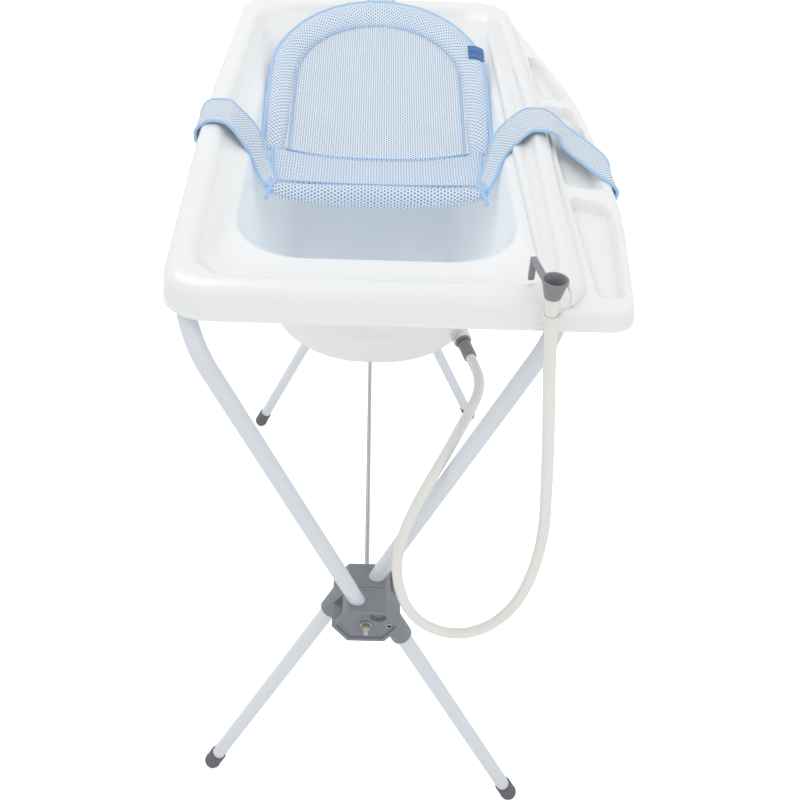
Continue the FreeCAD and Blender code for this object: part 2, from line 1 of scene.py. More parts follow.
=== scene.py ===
# %% [markdown]
# # A baby bath on a folding stand
# The bath hangs by its rim on two bent tubes that cross at the hubs, a mesh support for the
# baby lies in it, and a drain hose leaves its lowest corner and hooks over the foot end.
# The CAD frame is the skeleton: each visible piece here takes its place from it.

import math

import bmesh
import bpy
import numpy as np
from mathutils import Matrix, Vector


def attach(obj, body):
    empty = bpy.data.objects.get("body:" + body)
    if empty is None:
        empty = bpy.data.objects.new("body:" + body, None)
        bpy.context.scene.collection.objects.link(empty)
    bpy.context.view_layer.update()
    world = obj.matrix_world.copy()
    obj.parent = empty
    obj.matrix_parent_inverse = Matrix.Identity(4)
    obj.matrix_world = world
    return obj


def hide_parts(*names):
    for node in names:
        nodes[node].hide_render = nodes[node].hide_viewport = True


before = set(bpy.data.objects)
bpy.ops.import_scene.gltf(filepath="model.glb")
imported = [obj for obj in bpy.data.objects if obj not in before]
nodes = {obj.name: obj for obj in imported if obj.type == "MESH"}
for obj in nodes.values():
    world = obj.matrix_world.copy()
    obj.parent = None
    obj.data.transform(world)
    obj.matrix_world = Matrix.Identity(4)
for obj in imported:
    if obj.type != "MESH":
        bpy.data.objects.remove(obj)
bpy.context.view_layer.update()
scene = bpy.context.scene
MM = 0.001
STAND_X = -21.5            # the stand's centre plane, in millimetres


def place(x, y, z):
    """A point given about the stand's centre plane, in millimetres, in the frame's metres."""
    return Vector(((x + STAND_X) * MM, y * MM, z * MM))


# %% [markdown]
# ## The camera
# The view is from above the foot end, a little to the left of the middle, looking down by
# about 39 degrees. The lens is a 45 mm one, and a small shift keeps the tubes from leaning.

# %% Camera
CAMERA_AT = place(-17.9, -1249.7, 1466.5)
PITCH, YAW, ROLL = 0.68336, 0.00324, 0.0308
level = math.cos(PITCH)
forward = Vector((math.sin(YAW) * level, math.cos(YAW) * level, -math.sin(PITCH)))
level_right = Vector((math.cos(YAW), -math.sin(YAW), 0))
level_up = level_right.cross(forward)
cam_right = level_right * math.cos(ROLL) + level_up * math.sin(ROLL)
cam_up = level_up * math.cos(ROLL) - level_right * math.sin(ROLL)
camera_data = bpy.data.cameras.new("camera")
camera_data.lens, camera_data.sensor_width = 45.0, 36.0
camera_data.shift_x, camera_data.shift_y = 0.0484, -0.0186
camera = bpy.data.objects.new("camera", camera_data)
axes = Matrix((cam_right, cam_up, -forward)).transposed()
camera.matrix_world = Matrix.Translation(CAMERA_AT) @ axes.to_4x4()
scene.collection.objects.link(camera)
scene.camera = camera
print("camera at", [round(v, 3) for v in CAMERA_AT])
print("looking along", [round(v, 3) for v in forward])

# %% [markdown]
# ## Colours and shared effects
# Colours are written as on a paint card and turned into the linear values that shaders use.
# Three effects are shared by several materials, so each is a node group: the slight unevenness
# of moulded plastic, the orange peel and dust of a painted tube, and the open knit of the mesh.


# %% Helpers for colours and node groups
def paint(code, alpha=1.0):
    """A linear colour from a six-digit code."""
    values = [int(code[i:i + 2], 16) / 255 for i in (0, 2, 4)]
    linear = [v / 12.92 if v <= 0.04045 else ((v + 0.055) / 1.055) ** 2.4 for v in values]
    return (*linear, alpha)


def node_group(name, inputs, outputs):
    tree = bpy.data.node_groups.new(name, "ShaderNodeTree")
    for label, kind, value in inputs:
        socket = tree.interface.new_socket(label, in_out="INPUT", socket_type=kind)
        if value is not None:
            socket.default_value = value
    for label, kind in outputs:
        tree.interface.new_socket(label, in_out="OUTPUT", socket_type=kind)
    return tree, tree.nodes.new("NodeGroupInput"), tree.nodes.new("NodeGroupOutput")


def add_node(tree, kind, links=(), **settings):
    """A node with its inputs linked or set: links is a list of (input, socket or value)."""
    node = tree.nodes.new(kind)
    for key, value in settings.items():
        setattr(node, key, value)
    for target, source in links:
        if isinstance(source, bpy.types.NodeSocket):
            tree.links.new(source, node.inputs[target])
        else:
            node.inputs[target].default_value = source
    return node


def maths(tree, operation, first, second=None, clamp=False):
    links = [(0, first)] + ([] if second is None else [(1, second)])
    return add_node(tree, "ShaderNodeMath", links, operation=operation, use_clamp=clamp).outputs[0]


def mix_colours(tree, factor, first, second):
    links = [(0, factor), (6, first), (7, second)]
    return add_node(tree, "ShaderNodeMix", links, data_type="RGBA").outputs[2]


print("a sample colour", [round(v, 3) for v in paint("F6F6F5")])


# %% The moulded surface group
def moulded_group():
    tree, given, out = node_group(
        "moulded surface",
        [("Vector", "NodeSocketVector", None), ("Colour", "NodeSocketColor", (0.8, 0.8, 0.8, 1)),
         ("Shade", "NodeSocketColor", (0.6, 0.6, 0.6, 1)), ("Spread", "NodeSocketFloat", 0.3),
         ("Gloss", "NodeSocketFloat", 0.3), ("Grain size", "NodeSocketFloat", 900.0)],
        [("Colour", "NodeSocketColor"), ("Roughness", "NodeSocketFloat"),
         ("Height", "NodeSocketFloat")])
    clouds = add_node(tree, "ShaderNodeTexNoise",
                      [("Vector", given.outputs["Vector"]), ("Scale", 9.0)])
    grain = add_node(tree, "ShaderNodeTexNoise",
                     [("Vector", given.outputs["Vector"]), ("Scale", given.outputs["Grain size"])])
    amount = maths(tree, "MULTIPLY", clouds.outputs[0], given.outputs["Spread"])
    colour = mix_colours(tree, amount, given.outputs["Colour"], given.outputs["Shade"])
    uneven = maths(tree, "MULTIPLY", maths(tree, "SUBTRACT", clouds.outputs[0], 0.5), 0.12)
    rough = maths(tree, "ADD", given.outputs["Gloss"], uneven, clamp=True)
    tree.links.new(colour, out.inputs["Colour"])
    tree.links.new(rough, out.inputs["Roughness"])
    tree.links.new(grain.outputs[0], out.inputs["Height"])
    return tree


# %% The scuffed paint group
def scuffed_group():
    """A little dust, strongest low on the legs, over an orange-peel bump."""
    tree, given, out = node_group(
        "scuffed paint",
        [("Vector", "NodeSocketVector", None), ("Colour", "NodeSocketColor", (0.8, 0.8, 0.8, 1)),
         ("Dust", "NodeSocketColor", (0.5, 0.5, 0.5, 1)), ("Gloss", "NodeSocketFloat", 0.25),
         ("Dust height", "NodeSocketFloat", 0.15)],
        [("Colour", "NodeSocketColor"), ("Roughness", "NodeSocketFloat"),
         ("Height", "NodeSocketFloat")])
    parts = add_node(tree, "ShaderNodeSeparateXYZ", [(0, given.outputs["Vector"])])
    low = maths(tree, "DIVIDE", parts.outputs[2], given.outputs["Dust height"], clamp=True)
    low = maths(tree, "SUBTRACT", 1.0, low, clamp=True)
    specks = add_node(tree, "ShaderNodeTexNoise",
                      [("Vector", given.outputs["Vector"]), ("Scale", 160.0)])
    dusty = maths(tree, "MULTIPLY", maths(tree, "MULTIPLY", low, specks.outputs[0]), 0.35)
    colour = mix_colours(tree, dusty, given.outputs["Colour"], given.outputs["Dust"])
    orange_peel = add_node(tree, "ShaderNodeTexNoise",
                           [("Vector", given.outputs["Vector"]), ("Scale", 420.0)])
    dulled = maths(tree, "MULTIPLY", dusty, 0.8)
    rough = maths(tree, "ADD", given.outputs["Gloss"], dulled, clamp=True)
    tree.links.new(colour, out.inputs["Colour"])
    tree.links.new(rough, out.inputs["Roughness"])
    tree.links.new(orange_peel.outputs[0], out.inputs["Height"])
    return tree


# %% The open knit group
def knit_group():
    """Round holes in a honeycomb: three waves at 60 degrees, whose sum peaks at each hole."""
    tree, given, out = node_group(
        "open knit",
        [("Vector", "NodeSocketVector", None), ("Pitch", "NodeSocketFloat", 0.003),
         ("Yarn", "NodeSocketColor", (0.6, 0.8, 0.9, 1)),
         ("Gap", "NodeSocketColor", (0.4, 0.5, 0.6, 1)),
         ("Openness", "NodeSocketFloat", 0.5)],
        [("Colour", "NodeSocketColor"), ("Alpha", "NodeSocketFloat"),
         ("Height", "NodeSocketFloat")])
    scaled = add_node(tree, "ShaderNodeVectorMath",
                      [(0, given.outputs["Vector"])], operation="SCALE")
    turns = maths(tree, "DIVIDE", 2 * math.pi * 2 / math.sqrt(3), given.outputs["Pitch"])
    tree.links.new(turns, scaled.inputs["Scale"])
    parts = add_node(tree, "ShaderNodeSeparateXYZ", [(0, scaled.outputs[0])])
    across, along = parts.outputs[0], parts.outputs[1]
    waves = maths(tree, "COSINE", across)
    for side in (-1.0, 1.0):
        half = maths(tree, "MULTIPLY", across, 0.5)
        rise = maths(tree, "MULTIPLY", along, side * math.sqrt(3) / 2)
        waves = maths(tree, "ADD", waves, maths(tree, "COSINE", maths(tree, "ADD", half, rise)))
    level = maths(tree, "MULTIPLY", maths(tree, "ADD", waves, 1.5), 1 / 4.5)
    hole = add_node(tree, "ShaderNodeMapRange",
                    [("Value", level), ("From Min", 0.34), ("From Max", 0.62)],
                    interpolation_type="SMOOTHSTEP").outputs[0]
    cloth = add_node(tree, "ShaderNodeTexNoise",
                     [("Vector", given.outputs["Vector"]), ("Scale", 14.0)])
    shade = maths(tree, "MULTIPLY", cloth.outputs[0], 0.12)
    tint = maths(tree, "ADD", maths(tree, "MULTIPLY", hole, 0.85), shade, clamp=True)
    colour = mix_colours(tree, tint, given.outputs["Yarn"], given.outputs["Gap"])
    opening = maths(tree, "MULTIPLY", hole, given.outputs["Openness"])
    tree.links.new(colour, out.inputs["Colour"])
    tree.links.new(maths(tree, "SUBTRACT", 1.0, opening, clamp=True), out.inputs["Alpha"])
    tree.links.new(maths(tree, "SUBTRACT", 1.0, hole), out.inputs["Height"])
    return tree


MOULDED, SCUFFED, KNIT = moulded_group(), scuffed_group(), knit_group()
print("shared effects", [group.name for group in (MOULDED, SCUFFED, KNIT)])


# %% [markdown]
# ## Materials
# The bath is glossy white polypropylene, the tubes are powder coated in a cool white, the hubs
# are grey moulded nylon, the hose is milky vinyl, and the support is knitted polyester mesh with
# a woven binding. Each material places a shared group and keeps its own shader.

# %% Material helpers
def new_material(name):
    material = bpy.data.materials.new(name)
    material.use_nodes = True
    tree = material.node_tree
    return material, tree, tree.nodes["Principled BSDF"]


def surface_material(name, group, values, bump, coordinates="Object", **shader):
    """A material whose colour, roughness and bump come from a group. shader sets plain sockets."""
    material, tree, principled = new_material(name)
    where = add_node(tree, "ShaderNodeTexCoord").outputs[coordinates]
    effect = add_node(tree, "ShaderNodeGroup", node_tree=group)
    tree.links.new(where, effect.inputs["Vector"])
    for label, value in values.items():
        effect.inputs[label].default_value = value
    tree.links.new(effect.outputs["Colour"], principled.inputs["Base Color"])
    for label in ("Roughness", "Alpha"):
        if label in effect.outputs:
            tree.links.new(effect.outputs[label], principled.inputs[label])
    relief = add_node(tree, "ShaderNodeBump",
                      [("Height", effect.outputs["Height"]), ("Strength", bump),
                       ("Distance", 0.0006)])
    tree.links.new(relief.outputs[0], principled.inputs["Normal"])
    for label, value in shader.items():
        principled.inputs[label.replace("_", " ")].default_value = value
    return material


def moulded(name, colour, shade, spread, gloss, grain, relief, **shader):
    """A plain material of two close colours: grain is its fineness, relief the grain's depth."""
    values = {"Colour": paint(colour), "Shade": paint(shade), "Spread": spread, "Gloss": gloss,
              "Grain size": grain}
    return surface_material(name, MOULDED, values, relief, **shader)


# %% The object's materials
MILKY = {"Subsurface_Scale": 0.006, "Subsurface_Radius": (1.0, 1.0, 1.0)}
bath_white = moulded("bath white", "F6F6F5", "ECEBE8", 0.35, 0.24, 700.0, 0.04, Coat_Weight=0.35,
                     Coat_Roughness=0.12, Subsurface_Weight=0.15, **MILKY)
tube_white = surface_material(
    "tube white", SCUFFED,
    {"Colour": paint("E0E5EA"), "Dust": paint("B9B4AA"), "Gloss": 0.2, "Dust height": 0.12},
    0.05, Coat_Weight=0.5, Coat_Roughness=0.08)
hub_grey = moulded("hub grey", "8C9096", "767A80", 0.6, 0.42, 1400.0, 0.15)
foot_grey = moulded("foot rubber", "6E6E70", "57575A", 0.7, 0.62, 900.0, 0.2)
zinc = moulded("zinc plate", "C9CCD0", "A5A8AC", 0.6, 0.3, 2500.0, 0.1, Metallic=1.0)
yellow_zinc = moulded("yellow zinc", "D6C6A2", "B59F75", 0.7, 0.3, 2500.0, 0.1, Metallic=1.0)
fitting_grey = moulded("fitting grey", "8F9093", "7B7C80", 0.5, 0.4, 1500.0, 0.1)
vinyl = moulded("milky vinyl", "F1EFEA", "E2DFD6", 0.5, 0.22, 300.0, 0.05, Coat_Weight=0.3,
                Coat_Roughness=0.1, Subsurface_Weight=0.25, **MILKY)
clip_cream = moulded("clip cream", "EFEBDD", "D9D2BE", 0.5, 0.35, 1500.0, 0.1)
binding_blue = moulded("binding blue", "B4D6F8", "98C3EF", 0.6, 0.75, 1800.0, 0.6, Sheen_Weight=0.4)
tag_blue = moulded("tag blue", "2F6DB3", "1F5796", 0.6, 0.7, 1800.0, 0.5, Sheen_Weight=0.3)


def mesh_cloth(name, yarn, gap, pitch, openness):
    return surface_material(
        name, KNIT, {"Pitch": pitch, "Yarn": paint(yarn), "Gap": paint(gap), "Openness": openness},
        0.5, coordinates="UV", Roughness=0.7, Sheen_Weight=0.35)


fine_mesh = mesh_cloth("fine mesh", "E9F2FB", "8FA8C2", 0.0038, 0.35)
pad_mesh = mesh_cloth("pad mesh", "E3EFFB", "86A4C6", 0.0042, 0.2)
bold_mesh = mesh_cloth("bold mesh", "E0EDFA", "7B9FC6", 0.0049, 0.3)
print("materials", [material.name for material in bpy.data.materials])

# %% [markdown]
# ### Light through the bath's thin walls
# Daylight comes through 3 mm of white plastic, so the inside of such a bath is never dark. A
# true answer would need light to be traced through the wall many times. Here the basin's inside
# gets a faint light of its own instead, as much as an attribute on its points says. The
# attribute is written when the bath is built.

# %% The faint light
THROUGH, THROUGH_COLOUR = "light_through", (0.125, 0.142, 0.158, 1)
NO_LIGHT = (0, 0, 0, 1)
tree = bath_white.node_tree
share = add_node(tree, "ShaderNodeAttribute", attribute_name=THROUGH).outputs["Fac"]
glow = mix_colours(tree, share, NO_LIGHT, THROUGH_COLOUR)
tree.links.new(glow, tree.nodes["Principled BSDF"].inputs["Emission Color"])
tree.nodes["Principled BSDF"].inputs["Emission Strength"].default_value = 1.0
print("faint light", THROUGH_COLOUR[:3], "where", THROUGH, "is 1")

# %% [markdown]
# ## Finishing the hard pieces
# Tubes, legs, hubs and fasteners already have the right shape in the CAD frame, as loose
# triangles. Each is copied and its corners are merged. The hubs, fittings, hooks and fasteners
# also get a narrow bevel on their sharp edges, so that they catch the light as a moulded or
# pressed edge does.

# %% Finish one hard piece
def finish_mesh(obj, material, body, replaced, angle=35):
    obj.data.materials.clear()
    obj.data.materials.append(material)
    obj.data.shade_smooth()
    obj.data.set_sharp_from_angle(angle=math.radians(angle))
    if obj.name not in scene.collection.objects:
        scene.collection.objects.link(obj)
    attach(obj, body)
    for node in replaced:
        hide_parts(node)
    return obj


def apply_modifiers(obj):
    bpy.context.view_layer.update()
    evaluated = obj.evaluated_get(bpy.context.evaluated_depsgraph_get())
    mesh = bpy.data.meshes.new_from_object(evaluated)
    obj.modifiers.clear()
    old, obj.data = obj.data, mesh
    bpy.data.meshes.remove(old)


def hard_piece(node, material, body, bevel=0.0):
    mesh = bmesh.new()
    mesh.from_mesh(nodes[node].data)
    bmesh.ops.remove_doubles(mesh, verts=mesh.verts, dist=1e-5)
    if bevel:
        bmesh.ops.dissolve_limit(mesh, angle_limit=math.radians(2), verts=mesh.verts,
                                 edges=mesh.edges)
    data = bpy.data.meshes.new(node + "_finished")
    mesh.to_mesh(data)
    mesh.free()
    obj = bpy.data.objects.new(node + "_finished", data)
    scene.collection.objects.link(obj)
    if bevel:
        modifier = obj.modifiers.new("bevel", "BEVEL")
        modifier.width, modifier.segments = bevel, 2
        modifier.limit_method, modifier.angle_limit = "ANGLE", math.radians(40)
        apply_modifiers(obj)
    return finish_mesh(obj, material, body, [node])


# %% The stand
for node in ("left_rail_tube", "front_right_leg", "rear_right_leg"):
    hard_piece(node, tube_white, "outer_frame")
for node in ("right_rail_tube", "front_left_leg", "rear_left_leg"):
    hard_piece(node, tube_white, "inner_frame")
for node in ("front_right_foot_cap", "rear_right_foot_cap"):
    hard_piece(node, foot_grey, "outer_frame")
for node in ("front_left_foot_cap", "rear_left_foot_cap"):
    hard_piece(node, foot_grey, "inner_frame")
for node, body in (("front_outer_hub", "outer_frame"), ("rear_outer_hub", "outer_frame"),
                   ("front_inner_hub", "inner_frame"), ("rear_inner_hub", "inner_frame")):
    hard_piece(node, hub_grey, body, bevel=0.0009)
hard_piece("outer_leg_rivets", zinc, "outer_frame", bevel=0.0003)
hard_piece("inner_leg_rivets", zinc, "inner_frame", bevel=0.0003)
hard_piece("axle_rod", zinc, "axle")
hard_piece("axle_washers", zinc, "axle", bevel=0.0002)
hard_piece("axle_nuts", yellow_zinc, "axle", bevel=0.0004)

# %% [markdown]
# ## The drain hose
# A soft vinyl hose of 13 mm, a metre long. It leaves the collar under the foot end, swings
# forward, hangs in a loop beside the hub and climbs to the funnel on the rim. It is one smooth
# spline with the route's points as its control points, given a round section.

# %% The hose
HOSE_R = 6.5
HOSE_ROUTE = [
    (121.9, -248.5, 701.3), (128.3, -271.9, 698.8), (130.2, -296.0, 700.0), (124.8, -324.5, 701.0),
    (112.7, -351.4, 695.5), (96.7, -378.0, 680.0), (77.8, -404.4, 659.0), (58.1, -429.0, 634.0),
    (42.2, -444.6, 599.4), (33.5, -452.0, 560.0), (35.0, -457.0, 518.0), (46.0, -462.0, 479.0),
    (66.0, -466.0, 449.0), (96.0, -470.0, 435.0), (124.0, -473.0, 437.0), (152.0, -475.0, 456.0),
    (174.0, -476.0, 489.0), (187.0, -477.0, 530.0), (194.0, -477.0, 580.0), (195.5, -476.0, 634.0),
    (190.0, -474.0, 692.0), (184.0, -470.0, 752.0), (177.0, -464.0, 812.0), (170.0, -459.0, 870.0),
    (164.0, -456.0, 935.0),
]


def spline_curve(name, route, radius):
    data = bpy.data.curves.new(name, "CURVE")
    data.dimensions = "3D"
    spline = data.splines.new("NURBS")
    spline.points.add(len(route) - 1)
    for point, where in zip(spline.points, route):
        point.co = (*place(*where), 1.0)
    spline.order_u = 3
    spline.use_endpoint_u = True
    data.resolution_u = 10
    data.bevel_depth = radius
    data.bevel_resolution = 5
    data.use_fill_caps = True
    obj = bpy.data.objects.new(name, data)
    scene.collection.objects.link(obj)
    return obj


hose = spline_curve("drain_hose_line", HOSE_ROUTE, HOSE_R * MM)
hose.data.materials.append(vinyl)
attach(hose, "bath")
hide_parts("drain_hose")
funnel = hard_piece("hose_mouthpiece", fitting_grey, "bath", bevel=0.0008)
tether = hard_piece("mouthpiece_tether", vinyl, "bath")
hard_piece("hose_collar", fitting_grey, "bath", bevel=0.0004)
hard_piece("drain_spigot", fitting_grey, "bath", bevel=0.0003)
print("hose route points", len(HOSE_ROUTE))

# %% [markdown]
# ## The bath
# A vacuum-formed or injection-moulded bath is one skin of even thickness. So its visible face
# is built as rings, from the lip under the rim, over the round bead, down the sloping band and
# the wall to the floor, and Solidify gives the skin its 3 mm. Every ring is a rounded
# outline, sampled along the same rays from the middle, so that rings join into clean quads.


# %% Outlines
def rounded_outline(corners, steps=14):
    """Points round a closed convex outline of (x, y, corner radius) corners, anticlockwise."""
    points = []
    count = len(corners)
    for i, (x, y, radius) in enumerate(corners):
        corner = np.array((x, y), float)
        before, after = np.array(corners[i - 1][:2]), np.array(corners[(i + 1) % count][:2])
        u_in = (corner - before) / np.linalg.norm(corner - before)
        u_out = (after - corner) / np.linalg.norm(after - corner)
        turn = math.acos(float(np.clip(u_in @ u_out, -1, 1)))
        start = corner - u_in * radius * math.tan(turn / 2)
        centre = start + radius * np.array((-u_in[1], u_in[0]))
        for step in range(steps + 1):
            a = turn * step / steps
            arm = start - centre
            swung = (arm[0] * math.cos(a) - arm[1] * math.sin(a),
                     arm[0] * math.sin(a) + arm[1] * math.cos(a))
            points.append(centre + swung)
    return np.array(points)


def moved_out(corners, margin):
    """The outline moved outwards by margin, or inwards where it is negative."""
    result = []
    for i, (x, y, radius) in enumerate(corners):
        here = np.array((x, y), float)
        u_in = here - np.array(corners[i - 1][:2])
        u_out = np.array(corners[(i + 1) % len(corners)][:2]) - here
        u_in, u_out = u_in / np.linalg.norm(u_in), u_out / np.linalg.norm(u_out)
        n_in, n_out = np.array((u_in[1], -u_in[0])), np.array((u_out[1], -u_out[0]))
        moved = here + (n_in + n_out) * margin / (1 + n_in @ n_out)
        result.append((moved[0], moved[1], max(radius + margin, 1.0)))
    return result


def inside_distance(points, outline):
    """How far inside a convex outline each point is, negative outside it."""
    following = np.roll(outline, -1, axis=0)
    edge = following - outline
    length = np.linalg.norm(edge, axis=1)
    keep = length > 1e-6
    outline, edge, length = outline[keep], edge[keep], length[keep]
    normal = np.stack((-edge[:, 1], edge[:, 0]), 1) / length[:, None]
    return np.min(np.einsum("pek,ek->pe", points[:, None, :] - outline[None], normal), axis=1)


def smooth(value, low, high):
    """From 0 at low to 1 at high, without a corner at either."""
    t = np.clip((value - low) / (high - low), 0, 1)
    return t * t * (3 - 2 * t)


def run_along(line):
    """How far along a line each of its points is."""
    steps = np.linalg.norm(np.diff(np.array(line), axis=0), axis=1)
    return np.concatenate(([0.0], np.cumsum(steps)))


def spaced(line, count, closed=False):
    """Evenly spaced points along a flat line, which may be closed."""
    line = np.vstack((line, line[:1])) if closed else line
    run = run_along(line)
    even = np.linspace(0, run[-1], count, endpoint=not closed)
    return np.stack([np.interp(even, run, line[:, k]) for k in (0, 1)], 1)


# %% The bath's outlines
RIM = [(208, -440, 50), (217, 0, 6000), (210, 440, 60),
       (-222, 440, 54), (-232, 0, 6000), (-219, -440, 50)]
SHELF = [(150, -440, 20), (254, -440, 26), (279, -230, 900),
         (274, 70, 900), (206, 432, 40), (150, 432, 20)]
POCKETS = [
    [(221, -410, 10), (248, -410, 10), (261, -300, 300), (266, -222, 14), (221, -200, 10)],
    [(222, -170, 10), (265, -186, 12), (266, -60, 300), (261, 44, 14), (222, 56, 10)],
    [(222, 84, 8), (258, 74, 10), (235, 224, 5), (222, 230, 5)],
]
RIM_Z, LIP_Z, SHELF_Z, WALL, RIM_ROUND = 920.0, 885.0, 906.0, 3.0, 13.0
BASIN_X, BASIN_Y, FLOOR_Z = -2.5, 20.0, 692.7     # the basin's middle and its floor's lowest level
RAYS = 240


def lip_profile(top):
    """The lip that turns out under a rim: (how far out, height) up to top."""
    return [(2.5, LIP_Z), (2.5, LIP_Z + 1.2), (2.3, LIP_Z + 3.0), (0.4, LIP_Z + 4.2),
            (0.0, LIP_Z + 6), (0.0, top)]


def basin(front, rear, half_front, half_middle, half_rear, r_front, r_rear):
    right = [(half_front, front, r_front), (half_middle, 30, 2500), (half_rear, rear, r_rear)]
    left = [(-x, y, radius) for x, y, radius in reversed(right)]
    return [(x + BASIN_X, y, radius) for x, y, radius in right + left]


def between(first, second, t):
    return [tuple(a + (b - a) * t for a, b in zip(p, q)) for p, q in zip(first, second)]


MOUTH = basin(-406, 396, 185, 196, 187, 46, 68)
CREASE = basin(-399, 388, 177, 190, 179, 42, 62)
EDGE = basin(-318, 350, 158, 163, 158, 85, 100)
MIDDLE = basin(-296, 325, 140, 144, 140, 118, 95)
LOW = basin(-268, 305, 121, 127, 121, 112, 92)
FLOOR = basin(-243, 292, 99, 105, 99, 92, 80)
print("basin's mouth", 2 * MOUTH[1][0] - 2 * BASIN_X, "mm wide at its middle")

# %% The rings, from the lip over the bead to the floor
rings = [(moved_out(RIM, out), z) for out, z in lip_profile(RIM_Z - RIM_ROUND - 2)]
for degrees in (15, 40, 65, 88):
    a = math.radians(degrees)
    rings.append((moved_out(RIM, RIM_ROUND * (math.cos(a) - 1)),
                  RIM_Z - RIM_ROUND * (1 - math.sin(a))))
rings += [(between(moved_out(RIM, -RIM_ROUND), MOUTH, t), RIM_Z + rise)
          for t, rise in ((0.25, 1.1), (0.5, 1.2), (0.72, -0.2), (0.88, -2.6))]
rings += [(MOUTH, RIM_Z - 6.0), (between(MOUTH, CREASE, 0.6), RIM_Z - 9.8), (CREASE, RIM_Z - 12.4),
          (between(CREASE, EDGE, 0.12), RIM_Z - 14.2)]
rings += [(between(CREASE, EDGE, t), RIM_Z - 14 - 19 * t ** 1.15) for t in (0.3, 0.5, 0.7, 0.84)]
rings += [(between(CREASE, EDGE, 0.94), 888.0), (EDGE, 883.5), (moved_out(EDGE, -2.5), 876.0)]
rings += [(between(moved_out(EDGE, -4), MIDDLE, t), 868 - 105 * t)
          for t in (0, 0.25, 0.5, 0.75, 1.0)]
rings += [(between(MIDDLE, LOW, t), 763 - 56 * t ** 1.1) for t in (0.33, 0.66, 0.92)]
rings += [(between(LOW, FLOOR, 0.35), 700.0), (between(LOW, FLOOR, 0.8), 695.0), (FLOOR, 693.3),
          (moved_out(FLOOR, -10), 692.9)]
for shrink in (0.72, 0.45, 0.2):
    smaller = [(x * shrink, (y - BASIN_Y) * shrink + BASIN_Y, r * shrink) for x, y, r in FLOOR]
    rings.append((smaller, FLOOR_Z))
print("rings", len(rings))

# %% Rays through evenly spaced points of the rim
ray_ends = spaced(rounded_outline(RIM, steps=40), RAYS, closed=True)
RAY_START = np.array((0.0, 10.0))
angles = np.arctan2(ray_ends[:, 1] - RAY_START[1], ray_ends[:, 0] - RAY_START[0])


def on_rays(corners):
    """Where each ray meets an outline, whose straight stretches are divided first."""
    outline = spaced(rounded_outline(corners, steps=12) - RAY_START, 1500, closed=True)
    bearing = np.unwrap(np.arctan2(outline[:, 1], outline[:, 0]))
    reach = np.linalg.norm(outline, axis=1)
    order = np.argsort(bearing)
    reached = np.interp(angles, bearing[order], reach[order], period=2 * math.pi)
    return np.stack((reached * np.cos(angles), reached * np.sin(angles)), 1) + RAY_START


print("rays", len(angles))

# %% Build the bath's face and give it thickness
# On the shelf side the bead ends on the shelf, so its skirt is folded up under the shelf there.
under_shelf = smooth(inside_distance(on_rays(RIM), rounded_outline(SHELF)), 2.0, 9.0)
bath_mesh = bmesh.new()
grid = []
for corners, z in rings:
    heights = np.full(RAYS, z)
    if z < SHELF_Z - 2 and corners[0][0] > 200:
        heights = z + (SHELF_Z - 2.0 - (LIP_Z + 6 - z) * 0.05 - z) * under_shelf
    grid.append([bath_mesh.verts.new(place(x, y, h))
                 for (x, y), h in zip(on_rays(corners), heights)])
for outer, inner in zip(grid, grid[1:]):
    for j in range(RAYS):
        bath_mesh.faces.new((outer[j], outer[(j + 1) % RAYS], inner[(j + 1) % RAYS], inner[j]))
centre = bath_mesh.verts.new(place(BASIN_X, BASIN_Y, FLOOR_Z))
for j in range(RAYS):
    bath_mesh.faces.new((grid[-1][j], grid[-1][(j + 1) % RAYS], centre))
bath_data = bpy.data.meshes.new("bath_body")
bath_mesh.to_mesh(bath_data)
bath_mesh.free()
bath_body = bpy.data.objects.new("bath_body", bath_data)
scene.collection.objects.link(bath_body)


def subdivided(obj):
    """One level of subdivision, applied."""
    subdivide = obj.modifiers.new("smooth", "SUBSURF")
    subdivide.levels = subdivide.render_levels = 1
    apply_modifiers(obj)


def thickened(obj, thickness, offset=0.0):
    """A sheet given its thickness in millimetres: offset 0 is half on each side, -1 all inside."""
    solid = obj.modifiers.new("thickness", "SOLIDIFY")
    solid.thickness, solid.offset = thickness * MM, offset
    apply_modifiers(obj)


subdivided(bath_body)
thickened(bath_body, WALL, offset=-1.0)
finish_mesh(bath_body, bath_white, "bath", ["tub_shell"], angle=60)

# %% How much light comes through to each point of the basin's inside
LIT_BELOW, UNLIT_ABOVE = 0.855, 0.908      # heights in metres between which the light fades
axis_point = place(BASIN_X, BASIN_Y, 0)
through = bath_body.data.attributes.new(THROUGH, "FLOAT", "POINT")
for vertex, value in zip(bath_body.data.vertices, through.data):
    inward = (axis_point - vertex.co).to_2d().normalized().to_3d()
    faces_in = smooth(vertex.normal.dot(inward) + 1.2 * vertex.normal.z, -0.05, 0.3)
    value.value = float(faces_in * (1 - smooth(vertex.co.z, LIT_BELOW, UNLIT_ABOVE)))
print("bath triangles", sum(len(p.vertices) - 2 for p in bath_body.data.polygons))

# %% [markdown]
# ## The side shelf
# The shelf is a flange on the bead's outer side with three shallow trays for soap and
# bottles. It is a strip that follows the outer edge, from its lip, over a 6 mm edge and inwards
# to a line under the bead. The trays are pressed into it afterwards, with sloping walls, because
# a pressed tray has no sharp corners.

